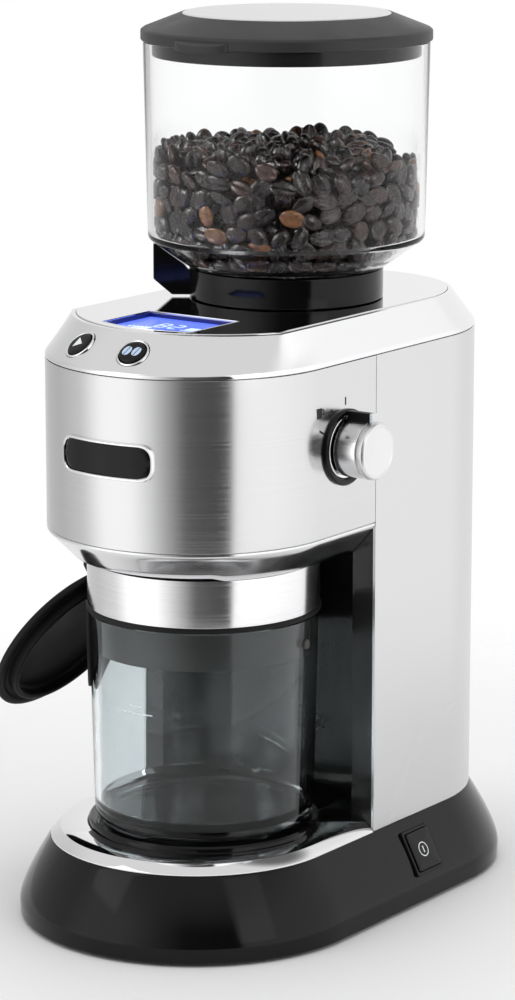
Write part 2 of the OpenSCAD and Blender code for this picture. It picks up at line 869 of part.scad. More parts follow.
base_shell();
base_plate();
rubber_feet();
base_screws();
tray_trim();
cup_seat();
switch_housing();
power_button();
cord_gland();
power_board();
column_cover();
column_front();
rear_spine();
head_wrap();
lower_bezel();
head_floor();
top_bezel();
top_deck();
display_window();
lcd_panel();
control_board();
start_button();
type_button();
button_bezels();
button_switches();
badge_plate();
badge_frame();
knob_ring();
knob_encoder();
knob_shaft();
quantity_knob();
gearbox_base();
gearbox_cover();
gearbox_screws();
motor_can();
motor_cap();
motor_rotor();
motor_pinion();
idler_axle();
idler_gear();
burr_gear();
burr_shaft();
shaft_bushes();
burr_chamber();
grounds_sweeper();
inner_burr();
burr_nut();
outer_burr();
burr_carrier();
grounds_chute();
grind_ring();
hopper();
hopper_lid();
lid_disc();
lid_gasket();
jar();
jar_ring();
jar_sleeve();
jar_gasket();
rubber_lid();
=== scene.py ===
"""Looks of the burr coffee grinder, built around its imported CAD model."""
import math
import random

import bmesh
import bpy
from mathutils import Matrix, Vector


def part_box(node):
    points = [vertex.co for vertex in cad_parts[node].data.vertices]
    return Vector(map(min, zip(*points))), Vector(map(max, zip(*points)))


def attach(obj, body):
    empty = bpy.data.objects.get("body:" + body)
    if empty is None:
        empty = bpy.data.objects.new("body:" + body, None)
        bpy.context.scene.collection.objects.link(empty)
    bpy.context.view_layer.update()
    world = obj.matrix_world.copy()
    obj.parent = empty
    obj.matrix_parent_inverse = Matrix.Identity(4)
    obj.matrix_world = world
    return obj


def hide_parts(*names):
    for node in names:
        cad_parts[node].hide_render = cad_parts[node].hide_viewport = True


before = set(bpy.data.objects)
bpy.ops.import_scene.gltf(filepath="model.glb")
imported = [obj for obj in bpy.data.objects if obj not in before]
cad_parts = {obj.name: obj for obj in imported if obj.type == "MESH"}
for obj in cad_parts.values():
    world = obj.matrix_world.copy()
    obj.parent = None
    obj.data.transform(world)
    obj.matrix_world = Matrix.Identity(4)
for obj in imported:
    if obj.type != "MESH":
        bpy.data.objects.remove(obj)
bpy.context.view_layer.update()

MM = 0.001
TAU = 2 * math.pi


# ---------- sizes, read from the frame ----------

def low(node):
    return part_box(node)[0]


def high(node):
    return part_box(node)[1]


BODY_R = high("head_wrap").x
FRONT_Y = low("head_wrap").y + BODY_R
REAR_Y = high("column_cover").y - BODY_R
SEAM_Y = low("column_cover").y
BASE_R = high("base_shell").x
BASE_Z0 = low("base_shell").z
SKIRT_Z = high("base_shell").z
WRAP_Z0 = low("head_wrap").z
WRAP_Z1 = high("head_wrap").z
DECK_Z = high("top_deck").z
DECK_HALF = high("top_deck").x + 1.8 * MM
TOP_Z = high("lid_disc").z
CUP_Y = (low("jar_ring").y + high("jar_ring").y) / 2
CUP_R = high("jar_ring").x
RING_Z0 = low("jar_ring").z
CUP_TOP = high("jar_ring").z
JAR_Z0 = low("jar").z
HOPPER_R = high("hopper").x
HOPPER_TOP = high("hopper").z
COLLAR_Z0 = DECK_Z + 0.4 * MM
BEZEL_Z = low("lower_bezel").z
KNOB_TIP = high("quantity_knob").x
KNOB_YZ = ((low("knob_shaft").y + high("knob_shaft").y) / 2, (low("knob_shaft").z + high("knob_shaft").z) / 2)


# ---------- camera, stage and light ----------

VIEW_AZIMUTH = math.radians(35.76)
VIEW_PITCH = math.radians(12.4)
VIEW_DISTANCE = 1.599
LENS_OVER_HEIGHT = 3.635
AIM = Vector((0, 0, 0.19))
AIM_PLACE = (0.0285, 0.0429)  # where AIM lands, from the middle, in image heights


def add_camera():
    forward = Vector((-math.sin(VIEW_AZIMUTH) * math.cos(VIEW_PITCH),
                      math.cos(VIEW_AZIMUTH) * math.cos(VIEW_PITCH), -math.sin(VIEW_PITCH)))
    right = Vector((math.cos(VIEW_AZIMUTH), math.sin(VIEW_AZIMUTH), 0))
    up = right.cross(forward)
    data = bpy.data.cameras.new("camera")
    data.sensor_fit = "VERTICAL"
    data.sensor_height = 36
    data.lens = 36 * LENS_OVER_HEIGHT
    data.clip_end = 20
    data.dof.use_dof = False
    camera = bpy.data.objects.new("camera", data)
    bpy.context.scene.collection.objects.link(camera)
    across, above = (v / LENS_OVER_HEIGHT for v in AIM_PLACE)
    place = AIM - VIEW_DISTANCE * (forward + across * right + above * up)
    axes = Matrix((right, up, -forward)).transposed().to_4x4()
    camera.matrix_world = Matrix.Translation(place) @ axes
    bpy.context.scene.camera = camera


def node_tree(owner):
    owner.use_nodes = True
    owner.node_tree.nodes.clear()
    return owner.node_tree.nodes, owner.node_tree.links


def add_node(nodes, kind, values=None, **settings):
    """Makes a shader node with its settings, and with values on its input sockets."""
    node = nodes.new("ShaderNode" + kind)
    for name, value in settings.items():
        setattr(node, name, value)
    for socket, value in (values or {}).items():
        node.inputs[socket].default_value = value
    return node


# Brightness of the studio round the object: degrees from the front towards +X, and level
STUDIO = [(-180, 0.95), (-150, 0.95), (-115, 0.65), (-90, 0.6), (-60, 0.78), (-40, 1.35), (-14, 1.35),
          (0, 0.95), (12, 0.55), (28, 0.12), (61, 0.04), (63.5, 0.08), (65.5, 1.25), (100, 1.25),
          (144, 1.12), (165, 0.95), (180, 0.95)]
DARK_CARD = (0.2, 0.5, 0.843)  # direction of a dark card above and behind
LAMP_EDGE, LAMP_CORE = 0.93, 0.97  # cosines between which a lamp fades in
# Direction and level of small lamps that light what stands inside the clear parts
LAMPS = [((-0.6, -0.62, 0.55), 8), ((0.75, -0.5, 0.45), 4)]


def add_world():
    world = bpy.data.worlds.new("studio")
    bpy.context.scene.world = world
    nodes, links = node_tree(world)
    out = nodes.new("ShaderNodeOutputWorld")

    def maths(operation, *values):
        node = add_node(nodes, "Math", operation=operation)
        for socket, value in zip(node.inputs, values):
            if isinstance(value, (int, float)):
                socket.default_value = value
            else:
                links.new(value, socket)
        return node.outputs[0]

    coord = nodes.new("ShaderNodeTexCoord")
    parts = nodes.new("ShaderNodeSeparateXYZ")
    links.new(coord.outputs["Generated"], parts.inputs[0])
    angle = maths("ARCTAN2", parts.outputs["X"], maths("MULTIPLY", parts.outputs["Y"], -1))
    turn = add_node(nodes, "MapRange", {"From Min": -math.pi, "From Max": math.pi})
    links.new(angle, turn.inputs["Value"])
    ramp = nodes.new("ShaderNodeValToRGB")
    while len(ramp.color_ramp.elements) > 1:
        ramp.color_ramp.elements.remove(ramp.color_ramp.elements[-1])
    for i, (degrees, level) in enumerate(STUDIO):
        at = (degrees + 180) / 360
        stop = ramp.color_ramp.elements[0] if i == 0 else ramp.color_ramp.elements.new(at)
        stop.position = at
        stop.color = (level / 2, level / 2, level / 2, 1)
    links.new(turn.outputs[0], ramp.inputs[0])
    double = add_node(nodes, "VectorMath", {"Scale": 2}, operation="SCALE")
    links.new(ramp.outputs["Color"], double.inputs[0])
    lift = add_node(nodes, "MapRange", {"From Min": 0.42, "From Max": 0.75},
                    interpolation_type="SMOOTHSTEP")
    links.new(parts.outputs["Z"], lift.inputs["Value"])
    dome = add_node(nodes, "Mix", data_type="RGBA")
    links.new(lift.outputs[0], dome.inputs["Factor"])
    links.new(double.outputs[0], dome.inputs["A"])
    dome.inputs["B"].default_value = (0.74, 0.74, 0.74, 1)
    facing = add_node(nodes, "VectorMath", {1: DARK_CARD}, operation="DOT_PRODUCT")
    links.new(coord.outputs["Generated"], facing.inputs[0])
    card = add_node(nodes, "MapRange", {"From Min": 0.935, "From Max": 0.995, "To Min": 1, "To Max": 0.2},
                    interpolation_type="SMOOTHSTEP")
    links.new(facing.outputs["Value"], card.inputs["Value"])
    shaded = add_node(nodes, "VectorMath", operation="SCALE")
    links.new(dome.outputs["Result"], shaded.inputs[0])
    links.new(card.outputs[0], shaded.inputs["Scale"])
    path = nodes.new("ShaderNodeLightPath")
    seen = add_node(nodes, "Mix", data_type="RGBA")
    bounced = maths("ADD", path.outputs["Diffuse Depth"], path.outputs["Glossy Depth"])
    through = maths("MULTIPLY", path.outputs["Is Transmission Ray"], maths("LESS_THAN", bounced, 0.5))
    links.new(maths("MAXIMUM", path.outputs["Is Camera Ray"], through), seen.inputs["Factor"])
    inside = maths("MULTIPLY", maths("GREATER_THAN", path.outputs["Transmission Depth"], 0.5),
                   maths("GREATER_THAN", bounced, 0.5))
    light = shaded.outputs[0]
    for direction, level in LAMPS:
        towards = add_node(nodes, "VectorMath", {1: Vector(direction).normalized()},
                           operation="DOT_PRODUCT")
        links.new(coord.outputs["Generated"], towards.inputs[0])
        spot = add_node(nodes, "MapRange", {"From Min": LAMP_EDGE, "From Max": LAMP_CORE, "To Max": level},
                        interpolation_type="SMOOTHSTEP")
        links.new(towards.outputs["Value"], spot.inputs["Value"])
        glow = add_node(nodes, "VectorMath", operation="ADD")
        links.new(light, glow.inputs[0])
        links.new(maths("MULTIPLY", spot.outputs[0], inside), glow.inputs[1])
        light = glow.outputs[0]
    links.new(light, seen.inputs["A"])
    seen.inputs["B"].default_value = (1, 1, 1, 1)
    back = add_node(nodes, "Background", {"Strength": 1.0})
    links.new(seen.outputs["Result"], back.inputs["Color"])
    links.new(back.outputs[0], out.inputs["Surface"])


def add_light(name, place, aim, size, power, in_gloss=True):
    data = bpy.data.lights.new(name, "AREA")
    data.shape = "RECTANGLE"
    data.size, data.size_y = size
    data.energy = power
    light = bpy.data.objects.new(name, data)
    light.location = place
    light.rotation_euler = (Vector(aim) - Vector(place)).to_track_quat("-Z", "Y").to_euler()
    light.visible_glossy = in_gloss
    bpy.context.scene.collection.objects.link(light)


FLOOR_SOLID, FLOOR_GONE = 0.24, 0.5  # radii between which the floor thins out


def floor_material():
    """Pale floor that thins out into the white studio."""
    mat, shader = shader_material("floor", (0.97, 0.97, 0.97), 0.7)
    nodes, links = mat.node_tree.nodes, mat.node_tree.links
    coord = nodes.new("ShaderNodeTexCoord")
    radius = add_node(nodes, "VectorMath", operation="LENGTH")
    links.new(coord.outputs["Object"], radius.inputs[0])
    fade = add_node(nodes, "MapRange",
                    {"From Min": FLOOR_SOLID, "From Max": FLOOR_GONE, "To Min": 1, "To Max": 0},
                    interpolation_type="SMOOTHSTEP")
    links.new(radius.outputs["Value"], fade.inputs["Value"])
    links.new(fade.outputs[0], shader.inputs["Alpha"])
    return mat


def add_stage():
    mesh = bpy.data.meshes.new("floor")
    mesh.from_pydata([(-2, -2, 0), (2, -2, 0), (2, 2, 0), (-2, 2, 0)], [], [(0, 1, 2, 3)])
    floor = bpy.data.objects.new("floor", mesh)
    bpy.context.scene.collection.objects.link(floor)
    mesh.materials.append(floor_material())
    add_light("key", (-0.9, -1.3, 1.5), (0, 0, 0.2), (0.9, 1.2), 2.5)
    add_light("fill", (1.6, -0.5, 1.0), (0, 0, 0.2), (0.8, 1.4), 1.5)
    add_light("top", (0, 0.1, 2.0), (0, 0, 0.2), (1.4, 1.4), 8, in_gloss=False)
    bpy.context.scene.view_settings.view_transform = "Standard"


# ---------- materials ----------

def shader_material(name, colour, roughness, metallic=0.0, **sockets):
    mat = bpy.data.materials.new(name)
    nodes, links = node_tree(mat)
    out = nodes.new("ShaderNodeOutputMaterial")
    shader = add_node(nodes, "BsdfPrincipled", {"Base Color": (*colour, 1), "Roughness": roughness,
                                               "Metallic": metallic})
    for socket, value in sockets.items():
        shader.inputs[socket.replace("_", " ")].default_value = value
    links.new(shader.outputs[0], out.inputs["Surface"])
    return mat, shader


def noise_field(mat, scale, stretch=(1, 1, 1), detail=4.0):
    nodes, links = mat.node_tree.nodes, mat.node_tree.links
    coord = nodes.new("ShaderNodeTexCoord")
    mapping = add_node(nodes, "Mapping", {"Scale": stretch})
    noise = add_node(nodes, "TexNoise", {"Scale": scale, "Detail": detail})
    links.new(coord.outputs["Object"], mapping.inputs[0])
    links.new(mapping.outputs[0], noise.inputs["Vector"])
    return noise.outputs["Fac"]


def vary_roughness(mat, shader, field, lo, hi):
    spread = add_node(mat.node_tree.nodes, "MapRange", {"From Min": 0.3, "From Max": 0.7, "To Min": lo,
                                                         "To Max": hi})
    mat.node_tree.links.new(field, spread.inputs["Value"])
    mat.node_tree.links.new(spread.outputs[0], shader.inputs["Roughness"])


def vary_colour(mat, shader, field, dark, light):
    ramp = mat.node_tree.nodes.new("ShaderNodeValToRGB")
    ramp.color_ramp.elements[0].position = 0.32
    ramp.color_ramp.elements[0].color = (*dark, 1)
    ramp.color_ramp.elements[1].position = 0.68
    ramp.color_ramp.elements[1].color = (*light, 1)
    mat.node_tree.links.new(field, ramp.inputs[0])
    mat.node_tree.links.new(ramp.outputs[0], shader.inputs["Base Color"])


def add_bump(mat, shader, field, strength, distance):
    bump = add_node(mat.node_tree.nodes, "Bump", {"Strength": strength, "Distance": distance})
    mat.node_tree.links.new(field, bump.inputs["Height"])
    mat.node_tree.links.new(bump.outputs[0], shader.inputs["Normal"])


def plastic(name, colour, roughness, grain=0.12, grain_scale=2600, shine=0.5):
    mat, shader = shader_material(name, colour, roughness, Specular_IOR_Level=shine)
    field = noise_field(mat, grain_scale)
    add_bump(mat, shader, field, grain, 0.00006)
    patches = noise_field(mat, 34)
    vary_roughness(mat, shader, patches, roughness * 0.85, roughness * 1.2)
    return mat


def polished(name, colour, roughness, metallic):
    mat, shader = shader_material(name, colour, roughness, metallic)
    vary_roughness(mat, shader, noise_field(mat, 60), roughness * 0.7, roughness * 1.4)
    return mat


def brushed(name, colour, roughness, across, strength):
    """Metal with grain lines: across has its large value along the axis that the lines cross."""
    mat, shader = shader_material(name, colour, roughness, 1.0)
    field = noise_field(mat, 1, across, 3.0)
    vary_roughness(mat, shader, field, roughness * 0.72, roughness * 1.3)
    vary_colour(mat, shader, field, [c * 0.97 for c in colour], [min(1, c * 1.02) for c in colour])
    add_bump(mat, shader, field, strength, 0.00004)
    return mat


def clear_plastic(name, colour, roughness, ior=1.45, shine=0.5):
    mat, shader = shader_material(name, colour, roughness, Transmission_Weight=1.0, IOR=ior,
                                  Specular_IOR_Level=shine)
    vary_roughness(mat, shader, noise_field(mat, 40), roughness * 0.6, roughness * 1.4)
    return mat


def glowing(name, colour, glow, strength):
    mat, shader = shader_material(name, colour, 0.3, 0.0, Emission_Strength=strength)
    shader.inputs["Emission Color"].default_value = (*glow, 1)
    vary_roughness(mat, shader, noise_field(mat, 300), 0.24, 0.36)
    return mat


def turned_metal(name, colour, roughness, axis_yz):
    """Face turned on a lathe: fine rings round the knob's axis."""
    mat, shader = shader_material(name, colour, roughness, 1.0)
    nodes, links = mat.node_tree.nodes, mat.node_tree.links
    coord = nodes.new("ShaderNodeTexCoord")
    shift = add_node(nodes, "VectorMath", {1: (0, *axis_yz)}, operation="SUBTRACT")
    links.new(coord.outputs["Object"], shift.inputs[0])
    flat = add_node(nodes, "VectorMath", {1: (0, 1, 1)}, operation="MULTIPLY")
    links.new(shift.outputs[0], flat.inputs[0])
    radius = add_node(nodes, "VectorMath", operation="LENGTH")
    links.new(flat.outputs[0], radius.inputs[0])
    rings = add_node(nodes, "TexNoise", {"Scale": 9000}, noise_dimensions="1D")
    links.new(radius.outputs["Value"], rings.inputs["W"])
    vary_roughness(mat, shader, rings.outputs["Fac"], roughness * 0.75, roughness * 1.3)
    add_bump(mat, shader, rings.outputs["Fac"], 0.25, 0.00004)
    return mat


def bean_material():
    """Each bean takes its roast from a colour attribute, and its skin from noise."""
    mat, shader = shader_material("coffee_bean", (0.05, 0.025, 0.015), 0.34)
    nodes, links = mat.node_tree.nodes, mat.node_tree.links
    roast = add_node(nodes, "Attribute", attribute_name="roast")
    skin = noise_field(mat, 420, detail=5.0)
    blend = add_node(nodes, "Mix", {"Factor": 0.75}, data_type="RGBA", blend_type="MULTIPLY")
    shade = nodes.new("ShaderNodeValToRGB")
    shade.color_ramp.elements[0].position = 0.3
    shade.color_ramp.elements[0].color = (0.45, 0.42, 0.4, 1)
    shade.color_ramp.elements[1].position = 0.7
    links.new(skin, shade.inputs[0])
    links.new(roast.outputs["Color"], blend.inputs["A"])
    links.new(shade.outputs[0], blend.inputs["B"])
    links.new(blend.outputs["Result"], shader.inputs["Base Color"])
    vary_roughness(mat, shader, skin, 0.18, 0.4)
    add_bump(mat, shader, skin, 0.5, 0.0004)
    return mat


M = {
    "gloss_black": plastic("gloss_black", (0.003, 0.003, 0.003), 0.1, 0.01, 900, 0.24),
    "column_black": plastic("column_black", (0.012, 0.012, 0.012), 0.24, 0.06, 2600, 0.45),
    "satin_black": plastic("satin_black", (0.006, 0.006, 0.006), 0.34, shine=0.22),
    "matt_black": plastic("matt_black", (0.01, 0.01, 0.01), 0.55, 0.25, shine=0.25),
    "lid_grey": plastic("lid_grey", (0.03, 0.03, 0.031), 0.45, 0.2, 3200, 0.35),
    "rubber": plastic("rubber", (0.006, 0.006, 0.006), 0.55, 0.25, 1800, 0.22),
    "chrome": polished("chrome", (0.88, 0.88, 0.89), 0.045, 1.0),
    "bezel_metal": polished("bezel_metal", (0.84, 0.84, 0.85), 0.13, 1.0),
    "head_steel": brushed("head_steel", (0.68, 0.68, 0.685), 0.2, (9, 9, 5200), 0.05),
    "cover_steel": brushed("cover_steel", (0.7, 0.7, 0.705), 0.3, (5, 5, 5), 0.002),
    "ring_steel": brushed("ring_steel", (0.84, 0.84, 0.85), 0.17, (14, 14, 1400), 0.04),
    "knob_face": turned_metal("knob_face", (0.8, 0.8, 0.8), 0.3, KNOB_YZ),
    "silver_disc": brushed("silver_disc", (0.86, 0.86, 0.87), 0.34, (30, 2200, 30), 0.04),
    "hopper": clear_plastic("hopper", (0.99, 0.993, 0.993), 0.006, 1.2, 0.2),
    "jar": clear_plastic("jar", (0.68, 0.72, 0.73), 0.008, 1.35, 0.3),
    "sleeve": plastic("sleeve", (0.055, 0.052, 0.05), 0.35),
    "beans": bean_material(),
    "navy": plastic("navy", (0.01, 0.02, 0.16), 0.3),
    "lcd": glowing("lcd", (0.05, 0.1, 0.5), (0.10, 0.16, 0.85), 1.1),
    "lcd_mark": glowing("lcd_mark", (0.5, 0.6, 0.9), (0.55, 0.66, 1.0), 1.0),
    "print_white": plastic("print_white", (0.85, 0.88, 0.9), 0.4),
    "print_blue": plastic("print_blue", (0.55, 0.68, 0.9), 0.4),
    "print_black": plastic("print_black", (0.01, 0.01, 0.01), 0.45),
    "board": plastic("board", (0.02, 0.09, 0.04), 0.4),
    "alloy": plastic("alloy", (0.42, 0.43, 0.45), 0.5, 0.4, 1500),
    "nylon": plastic("nylon", (0.72, 0.7, 0.6), 0.42),
    "bronze": brushed("bronze", (0.6, 0.4, 0.16), 0.34, (900, 900, 900), 0.15),
    "bright_steel": brushed("bright_steel", (0.6, 0.6, 0.62), 0.28, (60, 60, 1800), 0.08),
    "burr_steel": brushed("burr_steel", (0.36, 0.37, 0.39), 0.32, (1200, 1200, 200), 0.12),
}

CAD_LOOKS = {
    "matt_black": ["base_plate", "burr_chamber", "grounds_sweeper", "burr_carrier", "motor_cap", "rear_spine",
                   "knob_encoder", "button_switches", "grounds_chute"],
    "satin_black": ["head_floor", "switch_housing", "cord_gland", "knob_ring"],
    "column_black": ["column_front"],
    "gloss_black": ["cup_seat"],
    "rubber": ["rubber_feet", "lid_gasket"],
    "bright_steel": ["base_screws", "gearbox_screws", "burr_nut", "knob_shaft", "idler_axle", "burr_shaft",
                     "motor_pinion", "motor_can", "motor_rotor"],
    "board": ["power_board", "control_board"],
    "alloy": ["gearbox_base", "gearbox_cover"],
    "nylon": ["idler_gear", "burr_gear"],
    "bronze": ["shaft_bushes"],
    "burr_steel": ["inner_burr", "outer_burr"],
    "navy": ["display_window"],
    "lcd": ["lcd_panel"],
}


# ---------- mesh helpers ----------

def mesh_piece(name, verts, faces, look, sharp=32, replaces=(), body="housing"):
    mesh = bpy.data.meshes.new(name)
    mesh.from_pydata([tuple(v) for v in verts], [], faces)
    return finish_piece(name, mesh, look, sharp, replaces, body)


def finish_piece(name, mesh, look, sharp=32, replaces=(), body="housing"):
    bm = bmesh.new()
    bm.from_mesh(mesh)
    bmesh.ops.remove_doubles(bm, verts=bm.verts, dist=1e-6)
    bmesh.ops.recalc_face_normals(bm, faces=bm.faces)
    bm.to_mesh(mesh)
    bm.free()
    mesh.shade_smooth()
    mesh.set_sharp_from_angle(angle=math.radians(sharp))
    mesh.materials.append(M[look])
    obj = bpy.data.objects.new(name, mesh)
    bpy.context.scene.collection.objects.link(obj)
    if replaces:
        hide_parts(*replaces)
    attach(obj, body)
    return obj


def rounded(points, radius, steps=4, closed=True):
    """The outline with each corner rounded; radius is one value, or one for each point."""
    n = len(points)
    radii = radius if isinstance(radius, (list, tuple)) else [radius] * n
    out = []
    for i, p in enumerate(points):
        p = Vector(p)
        if radii[i] <= 0 or (not closed and i in (0, n - 1)):
            out.append(p)
            continue
        a = Vector(points[i - 1]) - p
        b = Vector(points[(i + 1) % n]) - p
        angle = a.angle(b)
        if angle > math.radians(178):
            out.append(p)
            continue
        cut = min(radii[i] / math.tan(angle / 2), 0.48 * a.length, 0.48 * b.length)
        start, end = p + a.normalized() * cut, p + b.normalized() * cut
        for k in range(steps + 1):
            t = k / steps
            out.append(start * (1 - t) ** 2 + p * 2 * t * (1 - t) + end * t ** 2)
    return out


def strip_faces(rings, per_ring, close_rings, close_section):
    """Quads between neighbouring rings of per_ring points each."""
    faces = []
    for i in range(rings if close_rings else rings - 1):
        j = (i + 1) % rings
        for k in range(per_ring if close_section else per_ring - 1):
            m = (k + 1) % per_ring
            faces.append((i * per_ring + k, j * per_ring + k, j * per_ring + m, i * per_ring + m))
    return faces


def lathe(name, profile, look, centre=(0, 0), segments=160, sharp=32, place=None, **kw):
    """Turns a closed profile of (radius, height) round a vertical axis, or one that place sets."""
    verts = []
    for i in range(segments):
        a = TAU * i / segments
        for r, z in profile:
            v = Vector((centre[0] + r * math.cos(a), centre[1] + r * math.sin(a), z))
            verts.append(place @ v if place else v)
    faces = strip_faces(segments, len(profile), True, True)
    return mesh_piece(name, verts, faces, look, sharp, **kw)


def stadium_path(radius, part="full", yf=None, yr=None, seam=None, arc=64):
    """Points and outward normals round the plan: all of it, or the part in front of or behind the seam."""
    yf = FRONT_Y if yf is None else yf
    yr = REAR_Y if yr is None else yr
    front = [(radius * math.cos(a), yf + radius * math.sin(a), math.cos(a), math.sin(a))
             for a in (math.pi * (1 + k / arc) for k in range(arc + 1))]
    rear = [(radius * math.cos(a), yr + radius * math.sin(a), math.cos(a), math.sin(a))
            for a in (math.pi * k / arc for k in range(arc + 1))]
    if part == "front":
        return [(-radius, seam, -1, 0)] + front + [(radius, seam, 1, 0)]
    if part == "rear":
        return [(radius, seam, 1, 0)] + rear + [(-radius, seam, -1, 0)]
    return front + rear


def sweep(name, path, section, look, closed_path, sharp=32, **kw):
    """Carries a closed section of (outward, height) along a path of points with normals."""
    verts = [Vector((x + nx * d, y + ny * d, z)) for x, y, nx, ny in path for d, z in section]
    n, m = len(path), len(section)
    faces = strip_faces(n, m, closed_path, True)
    if not closed_path:
        faces += [tuple(range(m - 1, -1, -1)), tuple((n - 1) * m + k for k in range(m))]
    return mesh_piece(name, verts, faces, look, sharp, **kw)


def loft(name, rings, look, sharp=32, **kw):
    """Joins closed rings, first to last and back to the first."""
    verts = [v for ring in rings for v in ring]
    return mesh_piece(name, verts, strip_faces(len(rings), len(rings[0]), True, True), look, sharp, **kw)


def capped(name, rings, look, sharp=32, **kw):
    """Joins closed rings, first to last, with a face on each end."""
    n = len(rings[0])
    last = (len(rings) - 1) * n
    faces = strip_faces(len(rings), n, False, True) + [tuple(range(n - 1, -1, -1)),
                                                       tuple(range(last, last + n))]
    mesh_piece(name, [v for ring in rings for v in ring], faces, look, sharp, **kw)


def cut_shell(name, rings, look, sharp, **kw):
    """Joins open rings, first to last and back to the first, with a face on each cut end."""
    n, count = len(rings[0]), len(rings)
    faces = strip_faces(count, n, True, False)
    faces.append(tuple(i * n for i in range(count)))
    faces.append(tuple(i * n + n - 1 for i in range(count - 1, -1, -1)))
    mesh_piece(name, [v for ring in rings for v in ring], faces, look, sharp, **kw)


def prism(outline, z0, z1, place=None):
    """Vertices and faces of an upright prism on an outline of (x, y)."""
    n = len(outline)
    verts = [Vector((p[0], p[1], z)) for z in (z0, z1) for p in outline]
    if place:
        verts = [place @ v for v in verts]
    faces = [tuple(range(n - 1, -1, -1)), tuple(range(n, 2 * n))]
    faces += [(k, (k + 1) % n, n + (k + 1) % n, n + k) for k in range(n)]
    return verts, faces


def circle_points(radius, count, centre=(0, 0), start=0.0):
    return [(centre[0] + radius * math.cos(start + TAU * k / count),
             centre[1] + radius * math.sin(start + TAU * k / count)) for k in range(count)]


def box_outline(w, h):
    return [(-w / 2, -h / 2), (w / 2, -h / 2), (w / 2, h / 2), (-w / 2, h / 2)]


def along(point, normal):
    """Places a local frame with +Z on the normal, and +X level where that can be."""
    normal = Vector(normal).normalized()
    level = Vector((0, 0, 1)).cross(normal)
    level = level.normalized() if level.length > 1e-6 else Vector((1, 0, 0))
    up = normal.cross(level)
    return Matrix.Translation(point) @ Matrix((level, up, normal)).transposed().to_4x4()


def cut(obj, verts, faces):
    """Takes a prism out of a piece."""
    mesh = bpy.data.meshes.new("cutter")
    mesh.from_pydata([tuple(v) for v in verts], [], faces)
    bm = bmesh.new()
    bm.from_mesh(mesh)
    bmesh.ops.recalc_face_normals(bm, faces=bm.faces)
    bm.to_mesh(mesh)
    bm.free()
    tool = bpy.data.objects.new("cutter", mesh)
    bpy.context.scene.collection.objects.link(tool)
    mod = obj.modifiers.new("cut", "BOOLEAN")
    mod.operation = "DIFFERENCE"
    mod.solver = "EXACT"
    mod.object = tool
    bpy.context.view_layer.update()
    done = bpy.data.meshes.new_from_object(obj.evaluated_get(bpy.context.evaluated_depsgraph_get()))
    obj.modifiers.clear()
    old = obj.data
    obj.data = done
    done.name = old.name
    bpy.data.meshes.remove(old)
    bpy.data.objects.remove(tool)
    bpy.data.meshes.remove(mesh)
    obj.data.set_sharp_from_angle(angle=math.radians(28))
    return obj


# ---------- base ----------

SKIRT_BAND = 8 * MM
SKIRT_POWER = 1.3
SHELL = 2.4 * MM


def skirt_out(z):
    t = max(0.0, (z - SKIRT_BAND) / (SKIRT_Z - SKIRT_BAND))
    return (BASE_R - BODY_R) * (1 - t ** SKIRT_POWER)


def make_base():
    steps = 22
    rise = [SKIRT_BAND + (SKIRT_Z - SKIRT_BAND) * k / steps for k in range(1, steps)]
    outer = [(skirt_out(0) - 0.9 * MM, BASE_Z0), (skirt_out(0) - 0.3 * MM, BASE_Z0 + 0.6 * MM),
             (skirt_out(0) - 0.1 * MM, SKIRT_BAND - 1.2 * MM), (skirt_out(0) - 0.25 * MM, SKIRT_BAND)]
    outer += [(skirt_out(z) - 0.25 * MM, z) for z in rise]
    outer += [(0.05 * MM, SKIRT_Z - 0.5 * MM), (-0.5 * MM, SKIRT_Z)]
    inner = [(-38 * MM, SKIRT_Z), (-38 * MM, SKIRT_Z - SHELL), (-3 * MM, SKIRT_Z - SHELL)]
    inner += [(skirt_out(z) - SHELL, z - 1 * MM) for z in reversed(rise[:-2])]
    inner += [(skirt_out(0) - SHELL, BASE_Z0)]
    base = sweep("base_skirt", stadium_path(BODY_R), outer + inner, "gloss_black", True,
                 replaces=["base_shell"])
    switch = switch_place()
    cut(base, *prism(box_outline(20.7 * MM, 20.7 * MM), -6 * MM, 9 * MM, switch))
    gland = along(Vector((0, high("cord_gland").y, 17 * MM)), (0, 1, 0))
    cut(base, *prism(circle_points(7.2 * MM, 48), -12 * MM, 6 * MM, gland))


def switch_place():
    lo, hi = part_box("power_button")
    middle = (lo + hi) / 2
    lean = math.radians(62)
    normal = Vector((math.sin(lean), 0, math.cos(lean)))
    surface = Vector((BODY_R + 8.1 * MM, middle.y, 22.4 * MM))
    return along(surface, normal)


def make_switch():
    place = switch_place()
    w = h = 20.4 * MM
    frame_rings = []
    for grow, z in ((0, -5.5), (0, 0.25), (-0.25, 0.5), (-1.15, 0.5), (-1.4, 0.25), (-1.4, -3.9)):
        outline = rounded(box_outline(w + 2 * grow * MM, h + 2 * grow * MM), 1.2 * MM, 4)
        frame_rings.append([place @ Vector((p[0], p[1], z * MM)) for p in outline])
    loft("switch_frame", frame_rings, "satin_black", replaces=["switch_housing"])
    bw = bh = 17.0 * MM
    rings = []
    for grow, z in ((0, -1.6), (0, 0.75), (-0.25, 1.0), (-0.8, 1.1), (-8.2, 0.8)):
        outline = rounded(box_outline(bw + 2 * grow * MM, bh + 2 * grow * MM), 1.0 * MM, 4)
        rings.append([place @ Vector((p[0], p[1], z * MM)) for p in outline])
    capped("power_cap", rings, "gloss_black", body="power_button", replaces=["power_button"])
    face_z = 0.9 * MM
    ring_mark("power_symbol_ring", place, face_z, 3.3 * MM, 2.85 * MM, "print_white", "power_button")
    bar = prism(box_outline(0.6 * MM, 3.0 * MM), face_z - 0.1 * MM, face_z + 0.08 * MM, place)
    mesh_piece("power_symbol_bar", *bar, "print_white", body="power_button")


